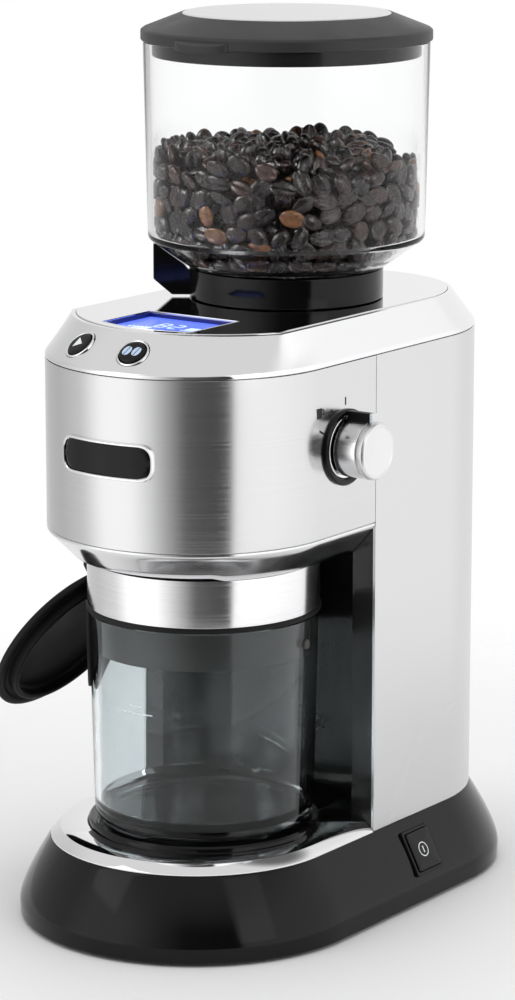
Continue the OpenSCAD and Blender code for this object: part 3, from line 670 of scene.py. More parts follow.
def ring_mark(name, place, z, r1, r0, look, body):
    profile = [(r0, z - 0.1 * MM), (r1, z - 0.1 * MM), (r1, z + 0.06 * MM), (r0, z + 0.06 * MM)]
    lathe(name, profile, look, segments=48, place=place, body=body)


def make_tray():
    """Chrome tray: chamfered rim, level deck and the round recess for the container's seat."""
    z0 = low("tray_trim").z
    z1 = high("tray_trim").z
    seam = SEAM_Y - 0.3 * MM
    recess_r = 50.5 * MM
    arc = 72
    path = stadium_path(BODY_R, "front", seam=seam, arc=arc)
    centre = Vector((0, CUP_Y, 0))
    rings = []
    levels = ((0, z0), (0, z0 + 0.5 * MM), (-0.25 * MM, z0 + 0.8 * MM), (-4.0 * MM, z1 - 0.2 * MM),
              (-4.4 * MM, z1))
    for out, z in levels:
        rings.append([Vector((x + nx * out, y + ny * out, z)) for x, y, nx, ny in path])
    hole = []
    for x, y, nx, ny in path:
        towards = Vector((x, y, 0)) - centre
        towards.normalize()
        spot = centre + towards * recess_r
        hole.append(spot)
    blend_ring = [Vector(((a.x * 0.04 + b.x * 0.96), (a.y * 0.04 + b.y * 0.96), z1))
                  for a, b in zip(rings[-1], hole)]
    rings.append(blend_ring)
    rings.append([Vector((p.x, p.y, z1 - 0.3 * MM)) for p in hole])
    rings.append([Vector((p.x, p.y, z0)) for p in hole])
    cut_shell("tray", rings, "chrome", sharp=30, replaces=["tray_trim"])


# ---------- column and head ----------

def make_column():
    t = 1.2 * MM
    z0, z1 = low("column_cover").z, high("column_cover").z
    section = rounded([(0, z0), (0, z1), (-t, z1), (-t, z0)], 0.35 * MM, 3)
    sweep("column_steel", stadium_path(BODY_R, "rear", seam=SEAM_Y), section, "cover_steel", False,
          sharp=50, replaces=["column_cover"])


def make_head():
    t = 1.2 * MM
    section = rounded([(0, WRAP_Z0), (0, WRAP_Z1), (-t, WRAP_Z1), (-t, WRAP_Z0)], 0.35 * MM, 3)
    wrap = sweep("head_steel", stadium_path(BODY_R, "front", seam=high("head_wrap").y, arc=96), section,
                 "head_steel", False, sharp=50, replaces=["head_wrap"])
    knob = along(Vector((BODY_R, *KNOB_YZ)), (1, 0, 0))
    cut(wrap, *prism(circle_points(9 * MM, 64), -6 * MM, 6 * MM, knob))


DECK_FRONT_R = 64 * MM
DECK_FRONT_Y = -47 * MM
DECK_REAR_Y = 31.6 * MM


def deck_corner_y(inset):
    half, r = DECK_HALF - inset, DECK_FRONT_R - inset
    return DECK_FRONT_Y - math.sqrt(r * r - half * half)


def deck_ring(inset, z, arc=56, side=14):
    """Deck outline from its left front corner round the front, up the right side and round the rear."""
    half, r = DECK_HALF - inset, DECK_FRONT_R - inset
    corner = deck_corner_y(inset)
    reach = math.asin(half / r)
    pts = [(r * math.sin(a), DECK_FRONT_Y - r * math.cos(a))
           for a in (-reach + 2 * reach * k / arc for k in range(arc + 1))]
    pts += [(half, corner + (DECK_REAR_Y - corner) * k / side) for k in range(1, side)]
    pts += [(half * math.cos(a), DECK_REAR_Y + half * math.sin(a)) for a in (math.pi * k / arc
            for k in range(arc + 1))]
    pts += [(-half, DECK_REAR_Y + (corner - DECK_REAR_Y) * k / side) for k in range(1, side)]
    return [Vector((x, y, z)) for x, y in pts]


MITRE_ANGLE = math.radians(71)


def wall_ring(inset, z, arc=56, side=14):
    """Head outline with the same number of points, its front corners where the bevel's mitres land."""
    r = BODY_R - inset
    pts = [(r * math.sin(a), FRONT_Y - r * math.cos(a))
           for a in (-MITRE_ANGLE + 2 * MITRE_ANGLE * k / arc for k in range(arc + 1))]
    bend = 5
    left_over = math.pi / 2 - MITRE_ANGLE
    side_pts = [(r * math.sin(MITRE_ANGLE + left_over * k / bend),
                 FRONT_Y - r * math.cos(MITRE_ANGLE + left_over * k / bend)) for k in range(1, bend + 1)]
    rest = side - 1 - bend
    side_pts += [(r, FRONT_Y + (REAR_Y - FRONT_Y) * k / (rest + 1)) for k in range(1, rest + 1)]
    pts += side_pts
    pts += [(r * math.cos(a), REAR_Y + r * math.sin(a)) for a in (math.pi * k / arc for k in range(arc + 1))]
    pts += [(-x, y) for x, y in reversed(side_pts)]
    return [Vector((x, y, z)) for x, y in pts]


def mix_rings(a, b, t):
    return [p.lerp(q, t) for p, q in zip(a, b)]


def make_top_bezel():
    z_low, z_bend, z_top = low("top_bezel").z, 247.4 * MM, high("top_bezel").z
    wall = wall_ring(0, z_bend)
    deck = deck_ring(0, z_top)
    inner_deck = deck_ring(1.6 * MM, z_top)
    rings = [wall_ring(1.6 * MM, z_low), wall_ring(0.35 * MM, z_low), wall_ring(0, z_low + 0.35 * MM),
             wall_ring(0, z_bend - 0.5 * MM), mix_rings(wall, deck, 0.02)]
    rings += [mix_rings(wall, deck, t) for t in (0.06, 0.25, 0.5, 0.75, 0.94, 0.985)]
    rings.append(mix_rings(deck, inner_deck, 0.4))
    rings.append(deck_ring(1.6 * MM, z_top - 0.1 * MM))
    rings.append(deck_ring(1.6 * MM, z_top - 2.4 * MM))
    bezel = loft("top_bezel_chrome", rings, "chrome", sharp=17, replaces=["top_bezel"])
    for place in button_places():
        cut(bezel, *prism(circle_points(7.4 * MM, 72), -9 * MM, 8 * MM, place))


BUTTON_ANGLES = {"start": math.radians(-20), "type": math.radians(7.3)}
BEVEL_N = (0.62, -0.62, 0.785)


def button_place(angle):
    point = Vector((63.85 * MM * math.sin(angle), -56.6 * MM - 63.85 * MM * math.cos(angle),
                    DECK_Z - 7.5 * MM))
    normal = (math.sin(angle) * BEVEL_N[0], math.cos(angle) * BEVEL_N[1], math.cos(angle) * BEVEL_N[2])
    return along(point, normal)


def button_places():
    return [button_place(a) for a in BUTTON_ANGLES.values()]


def make_buttons():
    for name, angle in BUTTON_ANGLES.items():
        place = button_place(angle)
        body = name + "_button"
        cap = rounded([(0, -4), (5.75, -4), (5.75, 0.85), (4.6, 1.25), (0, 1.4)],
                      [0, 0.2, 0.45, 2.2, 0], 4)
        cap = [(p[0] * MM, p[1] * MM) for p in cap]
        lathe(name + "_cap", cap, "satin_black", segments=72, place=place, body=body, replaces=[body])
        ring = rounded([(6.1, -4), (7.2, -4), (7.2, 0.35), (6.6, 0.62), (6.1, 0.3)],
                       [0, 0, 0.3, 0.35, 0.2], 4)
        ring = [(p[0] * MM, p[1] * MM) for p in ring]
        lathe(name + "_bezel", ring, "chrome", segments=72, place=place,
              replaces=["button_bezels"] if name == "start" else ())
    start = button_place(BUTTON_ANGLES["start"])
    top = 1.36 * MM
    triangle = rounded([(-1.8 * MM, -2.6 * MM), (2.6 * MM, 0), (-1.8 * MM, 2.6 * MM)], 0.2 * MM, 3)
    mesh_piece("start_symbol", *prism(triangle, top - 0.15 * MM, top + 0.08 * MM, start), "print_white",
               body="start_button")
    kind = button_place(BUTTON_ANGLES["type"])
    for side in (-1, 1):
        bean_symbol("bean_symbol_%d" % (side + 2), kind, side, top)


def bean_symbol(name, place, side, top):
    """Half ovals either side of a slanted slit."""
    tilt = math.radians(-20)
    verts, faces = [], []
    for half in (-1, 1):
        pts = []
        for k in range(13):
            a = math.pi * k / 12
            x, y = 1.62 * math.sin(a) * half, 2.45 * math.cos(a)
            pts.append((x + half * 0.2, y))
        turned = [(p[0] * math.cos(tilt) - p[1] * math.sin(tilt) + side * 2.2,
                   p[0] * math.sin(tilt) + p[1] * math.cos(tilt)) for p in pts]
        v, f = prism([(p[0] * MM, p[1] * MM) for p in turned], top - 0.2 * MM, top + 0.08 * MM, place)
        faces += [tuple(i + len(verts) for i in face) for face in f]
        verts += v
    mesh_piece(name, verts, faces, "print_blue", body="type_button")


WINDOW_HALF = 23.5 * MM
WINDOW_BACK = -67 * MM
WINDOW_R = 58.5 * MM


def window_points(inset, steps=14):
    half, r = WINDOW_HALF - inset, WINDOW_R - inset
    reach = math.asin(half / r)
    pts = [(half, WINDOW_BACK - inset), (-half, WINDOW_BACK - inset)]
    pts += [(r * math.sin(a), DECK_FRONT_Y - r * math.cos(a))
            for a in (-reach + 2 * reach * k / steps for k in range(steps + 1))]
    return pts


def make_deck():
    """Mirror-like deck with a rounded edge, a hole for the collar and the display's opening."""
    z = DECK_Z
    rings = [deck_ring(1.8 * MM, z - 2.4 * MM), deck_ring(1.8 * MM, z - 0.3 * MM), deck_ring(2.1 * MM, z)]
    hole = [Vector((38.8 * MM * math.cos(a), 38.8 * MM * math.sin(a), z)) for a in
            (math.atan2(p.y, p.x) for p in rings[-1])]
    rings += [hole, [Vector((p.x, p.y, z - 2.4 * MM)) for p in hole]]
    deck = loft("deck_mirror", rings, "chrome", sharp=25, replaces=["top_deck"])
    cut(deck, *prism(window_points(0), z - 6 * MM, z + 4 * MM))
    rim = []
    for inset, dz in ((0.0, -2.2), (0.0, -0.15), (0.15, 0.12), (0.55, 0.12), (0.7, -0.1), (0.7, -2.2)):
        rim.append([Vector((p[0], p[1], z + dz * MM)) for p in window_points(inset * MM)])
    loft("window_rim", rim, "chrome", sharp=30)


def make_display():
    """Generic read-out: a row of digit bars, a cup outline and a strength scale."""
    z = high("lcd_panel").z
    place = Matrix.Translation((0, -88 * MM, z))

    def bar(name, x, y, w, h):
        outline = [(p[0] + x * MM, p[1] + y * MM) for p in box_outline(w * MM, h * MM)]
        mesh_piece(name, *prism(outline, 0.02 * MM, 0.12 * MM, place), "lcd_mark")

    for d, (x, lit) in enumerate(((-3.5, "abcdefg"), (3.5, "abged"))):
        for seg in lit:
            sx, sy, w, h = {"a": (0, 7.2, 3.6, 0.8), "b": (2.1, 5.0, 0.8, 3.6), "c": (2.1, 0.8, 0.8, 3.6),
                            "d": (0, -1.4, 3.6, 0.8), "e": (-2.1, 0.8, 0.8, 3.6), "f": (-2.1, 5.0, 0.8, 3.6),
                            "g": (0, 2.9, 3.6, 0.8)}[seg]
            bar("digit_%d_%s" % (d, seg), x + sx, y=sy + 1.2, w=w, h=h)
    for k in range(6):
        bar("scale_%d" % k, -15 + k * 1.9, -4.0, 1.2, 1.2 + 0.8 * k)
    bar("cup_body", 13, 3.2, 6.0, 5.0)
    bar("cup_saucer", 13, -0.6, 8.4, 0.8)
    bar("base_line", 4, -8.2, 30, 0.8)


def bezel_ring(r_low, t, z, inset=0.0, arc=72):
    """Lower bezel outline between its bottom edge, at t = 0, and the head wrap, at t = 1."""
    seam = SEAM_Y - 0.4 * MM
    y_low = FRONT_Y + 2 * MM
    out = []
    for k in range(arc + 1):
        a = math.pi * (1 + k / arc)
        low_p = Vector(((r_low - inset) * math.cos(a), y_low + (r_low - inset) * math.sin(a), z))
        top_p = Vector(((BODY_R - inset) * math.cos(a), FRONT_Y + (BODY_R - inset) * math.sin(a), z))
        out.append(low_p.lerp(top_p, t))
    first, last = out[0], out[-1]
    return [Vector((first.x, seam, z))] + out + [Vector((last.x, seam, z))]


NOTCH_FROM = math.radians(44)
NOTCH_TO = math.radians(50)
NOTCH_H = 1.6 * MM


def notch_lift(p):
    angle = abs(math.atan2(p.x, -(p.y - FRONT_Y)))
    t = (NOTCH_TO - angle) / (NOTCH_TO - NOTCH_FROM)
    return NOTCH_H * min(1, max(0, t))


def make_lower_bezel():
    r = 52 * MM
    z0, z1, z2 = BEZEL_Z, WRAP_Z0 - 1.4 * MM, WRAP_Z0 - 0.2 * MM

    def level(t, inset=0.0, z=None):
        z = z0 + (z1 - z0) * t if z is None else z
        ring = bezel_ring(r, min(1, t), z, inset, 120)
        span = z1 - z0
        for i, p in enumerate(ring):
            up = notch_lift(p) if t < 1 else 0
            share = (z + up * (1 - t) - z0) / span
            flat = bezel_ring(r, min(1, max(0, share)), z + up * (1 - t), inset, 120)[i]
            ring[i] = flat
        return ring

    rings = [level(0, 1.6 * MM), level(0, 0.3 * MM), level(0.02, 0)]
    rings += [level(t) for t in (0.25, 0.5, 0.75, 0.97)]
    rings += [level(1, 0, z1 + 0.3 * MM), level(1, 0.1 * MM, z2 - 0.2 * MM), level(1, 0.4 * MM, z2)]
    rings += [level(1, 2.0 * MM, z2), level(1, 2.0 * MM, z1)]
    rings += [level(t, 1.8 * MM) for t in (0.75, 0.5, 0.25)]
    cut_shell("lower_bezel_metal", rings, "bezel_metal", sharp=24, replaces=["lower_bezel"])


def make_badge():
    """Plain dark plate in a thin frame, bent to the round front."""
    z_mid = (low("badge_plate").z + high("badge_plate").z) / 2

    w, h = 48 * MM, 15.6 * MM
    outline = rounded(box_outline(w, h), 6.6 * MM, 10)

    def dense_outline(grow):
        out = []
        for i, p in enumerate(outline):
            q = outline[(i + 1) % len(outline)]
            parts = max(1, int((Vector(q) - Vector(p)).length / (1.5 * MM)))
            out += [(p[0] + (q[0] - p[0]) * k / parts,
                     p[1] + (q[1] - p[1]) * k / parts) for k in range(parts)]
        sx, sy = (w + 2 * grow * MM) / w, (h + 2 * grow * MM) / h
        return [(x * sx, y * sy) for x, y in out]

    def on_front(points, out):
        r = BODY_R + out * MM
        return [Vector((r * math.sin(x / r), FRONT_Y - r * math.cos(x / r), z_mid + y)) for x, y in points]

    levels = ((0, 0.1), (0, 1.5), (-0.25, 1.85), (-0.85, 1.85), (-1.15, 1.5), (-1.15, 0.1))
    loft("badge_rim", [on_front(dense_outline(g), o) for g, o in levels], "chrome", replaces=["badge_frame"])
    plate_levels = ((-1.3, 0.1), (-1.3, 1.0), (-1.6, 1.25), (-3.5, 1.3), (-7.4, 1.3))
    rings = [on_front(dense_outline(g), o) for g, o in plate_levels]
    verts = [v for ring in rings for v in ring]
    n = len(rings[0])
    faces = strip_faces(len(rings), n, False, True)
    half = n // 2
    base = (len(rings) - 1) * n
    for k in range(half - 1):
        faces.append((base + k, base + k + 1, base + n - 2 - k, base + n - 1 - k))
    mesh_piece("badge_face", verts, faces, "gloss_black", replaces=["badge_plate"])


def make_knob():
    place = along(Vector((BODY_R, *KNOB_YZ)), (1, 0, 0))
    tip = KNOB_TIP - BODY_R
    body = "quantity_knob"
    side = rounded([(4, 2.1), (11.9, 2.1), (12.2, 2.5), (12.2, 12.8), (11.2, 13.1), (4, 13.1)],
                   [0, 0.2, 0.2, 0.15, 0.1, 0], 3)
    lathe("knob_side", [(r * MM, z * MM) for r, z in side], "ring_steel", segments=128, place=place,
          body=body, replaces=["quantity_knob"])
    crown = rounded([(0, 13.2), (11.7, 13.2), (12.2, 13.5), (12.2, tip / MM - 1.0), (11.3, tip / MM - 0.1),
                     (10.6, tip / MM), (10.3, tip / MM - 0.25), (0, tip / MM - 0.25)],
                    [0, 0.2, 0.3, 0.9, 0.4, 0.2, 0.1, 0], 4)
    lathe("knob_crown", [(r * MM, z * MM) for r, z in crown], "knob_face", segments=128, place=place,
          body=body, sharp=40)
    fin = rounded(box_outline(3.4 * MM, 5.4 * MM), 0.5 * MM, 4)
    fin = [(x, y + 13.1 * MM) for x, y in fin]
    rings = []
    for shrink, z in ((0.0, 2.1), (0.0, 13.2), (0.12, 13.4)):
        rings.append([place @ Vector((x * (1 - shrink), 13.1 * MM + (y - 13.1 * MM) * (1 - shrink), z * MM))
                      for x, y in fin])
    capped("knob_pointer", rings, "satin_black", body=body)
    cap = rounded([(p[0], p[1]) for p in [(-1.7 * MM, 11.9 * MM), (1.7 * MM, 11.9 * MM),
                                          (1.7 * MM, 15.8 * MM),
                                         (-1.7 * MM, 15.8 * MM)]], 0.4 * MM, 4)
    mesh_piece("pointer_end", *prism(cap, 13.4 * MM, 14.6 * MM, place), "print_white", body=body)
    outer = rounded([(13.4, 0.05), (16.3, 0.05), (16.3, 1.2), (15.6, 1.8), (14.2, 1.8), (13.4, 1.2)],
                    [0, 0, 0.3, 0.4, 0.4, 0.2], 3)
    lathe("knob_base_ring", [(r * MM, z * MM) for r, z in outer], "gloss_black", segments=128, place=place,
          replaces=["knob_ring"])
    inner = rounded([(8.2, 0.05), (13.35, 0.05), (13.35, 0.7), (12.9, 1.1), (8.2, 1.1)],
                    [0, 0, 0.2, 0.3, 0], 3)
    lathe("knob_chrome_ring", [(r * MM, z * MM) for r, z in inner], "chrome", segments=128, place=place)
    make_knob_marks(place)


def make_knob_marks(place):
    """Ticks at the two ends of the range and a small cup between them."""

    def flat(name, outline):
        mesh_piece(name, *prism(outline, -0.05 * MM, 0.06 * MM, place), "print_black")

    for name, degrees, length in (("mark_low", 0, 3.4), ("mark_high", 63, 3.4), ("mark_mid", 31, 1.8)):
        a = math.radians(degrees)
        middle = 19.6 * MM
        c, s = math.cos(a), math.sin(a)
        outline = []
        for x, y in box_outline(0.9 * MM, length * MM):
            y += middle
            outline.append((x * c - y * s, x * s + y * c))
        flat(name, outline)
    a = math.radians(48)
    cx, cy = -25.5 * MM * math.sin(a), 25.5 * MM * math.cos(a)
    flat("cup_mark", [(cx + x * MM, cy + y * MM)
                      for x, y in ((-2.2, 2.2), (-1.7, -2.2), (1.3, -2.2), (1.8, 2.2))])
    handle = [(cx + x * MM, cy + y * MM)
              for x, y in ((1.9, 1.6), (3.2, 1.6), (3.2, -0.8), (1.6, -0.8), (1.6, -0.2),
                                                     (2.6, -0.2), (2.6, 1.0), (1.9, 1.0))]
    flat("cup_mark_handle", handle)


# ---------- hopper ----------

LEVER_TURN = math.radians(37)


def make_grind_ring():
    z0, z1 = COLLAR_Z0, 275.4 * MM
    collar = 42.2 * MM
    profile = rounded([(35 * MM, low("grind_ring").z), (38.3 * MM, low("grind_ring").z), (38.3 * MM, z0),
                       (collar, z0), (collar, z1), (36.6 * MM, z1), (36.6 * MM, z1 - 5 * MM),
                       (35 * MM, z1 - 5 * MM)],
                      [0, 0, 0, 0.5 * MM, 0.7 * MM, 0.4 * MM, 0, 0], 4)
    lathe("grind_collar", profile, "gloss_black", body="grind_ring", replaces=["grind_ring"])
    fin = rounded([(40.5, 262.9), (49.8, 262.9), (57.8, 269.8), (57.8, 285), (56.9, 285), (44, 275.6),
                   (42.4, 273.6), (40.5, 273.4)], [0, 1.2, 1.2, 0.4, 0.4, 1.5, 1, 0], 4)
    centre = Vector((51, 273))
    turn = Matrix.Rotation(LEVER_TURN, 3, "Z")
    rings = []
    for shrink, y in ((0.35, -2.4), (0.0, -2.0), (0.0, 2.0), (0.35, 2.4)):
        ring = []
        for p in fin:
            away = p - centre
            if p.x > 41:
                p = centre + away * (1 - shrink / max(1, away.length))
            ring.append(turn @ Vector((-p.x * MM, y * MM, p.y * MM)))
        rings.append(ring)
    capped("grind_lever", rings, "gloss_black", body="grind_ring")


def make_hopper():
    top = HOPPER_TOP / MM
    outer = [(34, 256), (34, 275.8), (43, 276), (56.6, 285.6), (60.1, 288.2), (HOPPER_R / MM, top)]
    inner = [(HOPPER_R / MM - 2.4, top), (57.7, 290), (56.0, 288.6), (42.6, 278.4), (31.6, 276.6),
             (31.6, 256)]
    radii = [0.3, 0.4, 0.8, 3, 2.6, 0.5, 0.5, 1.5, 3, 1, 1, 0.3]
    profile = rounded([(r * MM, z * MM) for r, z in outer + inner], [r * MM for r in radii], 6)
    lathe("hopper_bowl", profile, "hopper", segments=192, sharp=60, body="hopper", replaces=["hopper"])


def make_lid():
    z = HOPPER_TOP / MM + 0.1
    t = TOP_Z / MM
    profile = [(0, z + 2), (55, z + 2), (55, z + 0.1), (62.5, z + 0.1), (62.8, z + 0.5), (62.8, z + 4.3),
               (61.6, z + 5.2), (45.5, t - 0.35), (45.1, t - 0.6), (45.1, t - 2), (0, t - 2)]
    radii = [0, 0.3, 0.3, 0.3, 0.4, 0.9, 0.9, 0.3, 0.2, 0.1, 0]
    profile = rounded([(r * MM, h * MM) for r, h in profile], [r * MM for r in radii], 4)
    lathe("lid_shell", profile, "lid_grey", segments=192, sharp=40, body="hopper_lid",
          replaces=["hopper_lid"])
    disc = rounded([(0, t - 1.9), (44.9, t - 1.9), (44.9, t - 0.45), (44.2, t - 0.05), (0, t)],
                   [0, 0.1, 0.3, 0.5, 0], 4)
    lathe("lid_insert", [(r * MM, h * MM) for r, h in disc], "silver_disc", segments=192, body="hopper_lid",
          replaces=["lid_disc"])
    skirt = rounded([(55.8, z - 6.5), (58.2, z - 6.5), (58.2, z - 0.1), (55.8, z - 0.1)], 0.5, 4)
    lathe("lid_skirt", [(r * MM, h * MM) for r, h in skirt], "satin_black", segments=160, body="hopper_lid",
          replaces=["lid_gasket"])
    make_lid_tab(z)


def make_lid_tab(z):
    """Finger tab: a lip that swells out of the rim at the front and thins at its ends."""
    spread = math.radians(12.6)
    steps = 28
    rings = []
    for k in range(steps + 1):
        t = -1 + 2 * k / steps
        a = t * spread
        swell = (1 - t * t) ** 0.5 if abs(t) < 1 else 0
        r0, r1 = 62.3, 62.7 + 3.6 * swell
        top, bottom = z + 3.6, z - 0.1 - 1.1 * swell
        section = rounded([(r0, bottom), (r1, bottom), (r1, top - 1.8 * swell), (r0, top)], 0.5, 3)
        rings.append([Vector((r * math.sin(a), -r * math.cos(a), h)) * MM for r, h in section])
    capped("lid_tab", rings, "lid_grey", sharp=50, body="hopper_lid")


BEAN_LEN, BEAN_WIDE, BEAN_DEEP = 5.5 * MM, 4.0 * MM, 2.6 * MM
ROASTS = [(0.012, 0.006, 0.005), (0.018, 0.009, 0.007), (0.010, 0.006, 0.006), (0.026, 0.012, 0.010),
          (0.050, 0.020, 0.014), (0.016, 0.009, 0.010), (0.024, 0.012, 0.012), (0.20, 0.085, 0.03)]


def bean_shape(rings=10, around=26):
    """Half-ellipsoid bean: round back, flatter face with the centre cut along its length."""
    verts, faces = [], []
    for i in range(1, rings):
        a = math.pi * i / rings
        x = -math.cos(a)
        girth = math.sin(a)
        for k in range(around):
            b = TAU * k / around
            y, z = girth * math.cos(b), girth * math.sin(b)
            z = z * 1.15 if z > 0 else z * 0.62
            if z < 0:
                z += 0.46 * math.exp(-(y / 0.2) ** 2) * girth
            verts.append((x * BEAN_LEN, y * BEAN_WIDE, z * BEAN_DEEP))
    faces = [(i * around + k, i * around + (k + 1) % around, (i + 1) * around + (k + 1) % around,
              (i + 1) * around + k) for i in range(rings - 2) for k in range(around)]
    verts += [(-BEAN_LEN, 0, 0), (BEAN_LEN, 0, 0)]
    n = len(verts)
    faces += [(n - 2, (k + 1) % around, k) for k in range(around)]
    last = (rings - 2) * around
    faces += [(n - 1, last + k, last + (k + 1) % around) for k in range(around)]
    return [Vector(v) for v in verts], faces


def fill_height(x, y):
    """Uneven top of the beans: a low mound with waves."""
    r = math.hypot(x, y) / (58 * MM)
    return (322.5 + 5.0 * (1 - r * r) + 1.8 * math.sin(x * 90 + 1) + 1.5 * math.sin(y * 120 + x * 40)) * MM


def bean_room(z):
    """Inner radius of the hopper at a height, less half a bean."""
    if z > 290 * MM:
        wall = 57.8 * MM + (z - 290 * MM) * 0.02
    else:
        wall = 42.6 * MM + (z - 278.4 * MM) * (13.6 / 10.4)
    return wall - 3.0 * MM


def bean_spots(rng):
    """Places in rings against the wall, a second ring behind, and the heaped top."""
    spots = []
    pitch = 6.9 * MM
    z = 282.5 * MM
    while z < 338 * MM:
        room = bean_room(z)
        for layer in range(3):
            r = room - layer * 6.2 * MM
            count = int(TAU * r / (8.9 * MM))
            turn = rng.random() * TAU
            for k in range(count):
                a = turn + TAU * (k + rng.uniform(-0.2, 0.2)) / count
                spots.append((r * math.cos(a), r * math.sin(a), z + rng.uniform(-1.4, 1.4) * MM, a, layer))
        z += pitch
    for layer in range(3):
        r = 4 * MM
        while r < 44 * MM:
            count = max(4, int(TAU * r / (7.4 * MM)))
            for k in range(count):
                a = TAU * (k + rng.random() * 0.5) / count
                x, y = r * math.cos(a), r * math.sin(a)
                spots.append((x, y, fill_height(x, y) - (layer * 5 + rng.uniform(0, 2.5)) * MM, a, 2))
            r += 6.3 * MM
    return [s for s in spots if s[2] < fill_height(s[0], s[1]) + 1.0 * MM]


def make_beans():
    rng = random.Random(7)
    shape, shape_faces = bean_shape()
    verts, faces, colours = [], [], []
    for x, y, z, a, layer in bean_spots(rng):
        size = rng.uniform(0.86, 1.1)
        if layer == 0:
            side = rng.choice((-1, 1))
            lean = side * math.pi / 2 + rng.gauss(0, 0.35)
            facing = Matrix.Rotation(a, 3, "Z") @ Matrix.Rotation(lean, 3, "Y")
            turn = Matrix.Rotation(rng.uniform(0, TAU), 3, "Z")
            spin = facing @ turn @ Matrix.Rotation(rng.gauss(0, 0.3), 3, "X")
        else:
            spin = (Matrix.Rotation(rng.uniform(0, TAU), 3, "Z") @ Matrix.Rotation(rng.gauss(0, 0.9), 3, "Y")
                    @ Matrix.Rotation(rng.uniform(0, TAU), 3, "X"))
        start = len(verts)
        here = Vector((x, y, z))
        verts += [here + spin @ (v * size) for v in shape]
        faces += [tuple(start + i for i in f) for f in shape_faces]
        roast = rng.choice(ROASTS[:7]) if rng.random() > 0.035 else ROASTS[7]
        shade = rng.uniform(0.7, 1.25)
        colours += [(roast[0] * shade, roast[1] * shade, roast[2] * shade, 1)] * len(shape)
    limit = [bean_room(max(282 * MM, v.z)) + 2.6 * MM for v in verts]
    for v, wall in zip(verts, limit):
        r = math.hypot(v.x, v.y)
        if r > wall:
            v.x *= wall / r
            v.y *= wall / r
        v.z = max(v.z, 279.6 * MM)
    mesh = bpy.data.meshes.new("beans")
    mesh.from_pydata([tuple(v) for v in verts], [], faces)
    attribute = mesh.color_attributes.new("roast", "FLOAT_COLOR", "POINT")
    attribute.data.foreach_set("color", [c for colour in colours for c in colour])
    mesh.shade_smooth()
    mesh.materials.append(M["beans"])
    beans = bpy.data.objects.new("beans", mesh)
    bpy.context.scene.collection.objects.link(beans)
    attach(beans, "hopper")


# ---------- container ----------

def make_container():
    centre = (0, CUP_Y)
    z0, zr, zt = JAR_Z0 / MM, RING_Z0 / MM, CUP_TOP / MM
    jar = [(0, z0 + 1.0), (40, z0 + 1.0), (41.2, z0), (44.4, z0), (46.9, z0 + 2.0), (47.5, z0 + 5),
           (49.5, zr - 3), (48, zr - 2.6), (48, 152), (46.4, 152), (46.2, zr - 4), (45.3, z0 + 8),
           (43.0, z0 + 4.6), (0, z0 + 4.4)]
    radii = [0, 0.6, 0.6, 1.6, 2.4, 3, 0.3, 0.2, 0.3, 0.3, 1, 3, 3, 0]
    profile = rounded([(r * MM, h * MM) for r, h in jar], [r * MM for r in radii], 5)
    lathe("jar_wall", profile, "jar", centre, segments=192, sharp=50, body="container", replaces=["jar"])
    ring = rounded([(48.2, zr), (CUP_R / MM, zr), (CUP_R / MM, zt), (44.6, zt), (44.6, 152.2), (48.2, 152.2)],
                   [0.1, 0.3, 0.9, 0.5, 0.2, 0.1], 4)
    lathe("jar_collar", [(r * MM, h * MM) for r, h in ring], "ring_steel", centre, segments=192,
          body="container", replaces=["jar_ring"])
    sleeve = rounded([(44.8, 118), (46.0, 118), (46.0, 151.9), (44.8, 151.9)], 0.3, 3)
    lathe("jar_liner", [(r * MM, h * MM) for r, h in sleeve], "sleeve", centre, segments=160,
          body="container", replaces=["jar_sleeve"])
    boss = along(Vector((49.4 * MM * math.cos(math.radians(8)), CUP_Y + 49.4 * MM * math.sin(math.radians(8)),
                         124 * MM)), (math.cos(math.radians(8)), math.sin(math.radians(8)), 0))
    dot = rounded([(0, -0.4), (2.2, -0.4), (2.2, 0.7), (1.6, 1.0), (0, 1.0)], [0, 0, 0.3, 0.3, 0], 3)
    lathe("jar_boss", [(r * MM, h * MM) for r, h in dot], "sleeve", segments=40, place=boss, body="container")
    make_fill_line()
    make_strap()


def make_fill_line():
    """Fill line on the front of the jar."""
    verts, faces = [], []
    for half_width, z, thick in ((8.5, 98, 0.5), (3.0, 101.2, 0.5)):
        steps = 20
        start = len(verts)
        r = 48.72 * MM
        for k in range(steps + 1):
            a = (-half_width + 2 * half_width * k / steps) * MM / r
            for rr, zz in ((r - 0.1 * MM, z), (r + 0.06 * MM, z), (r + 0.06 * MM, z + thick),
                           (r - 0.1 * MM, z + thick)):
                verts.append(Vector((rr * math.sin(a), CUP_Y - rr * math.cos(a), zz * MM)))
        faces += [tuple(start + i for i in f) for f in strip_faces(steps + 1, 4, False, True)]
        faces += [(start + 3, start + 2, start + 1, start), tuple(start + steps * 4 + i for i in range(4))]
    mesh_piece("fill_line", verts, faces, "print_white", body="container")


LID_PIN = Vector((-54 * MM, 0, 147 * MM))
LID_LEAN = math.radians(34)
LID_TURN = math.radians(-2)
RUBBER_R = 40
PLUG_R = 33.6


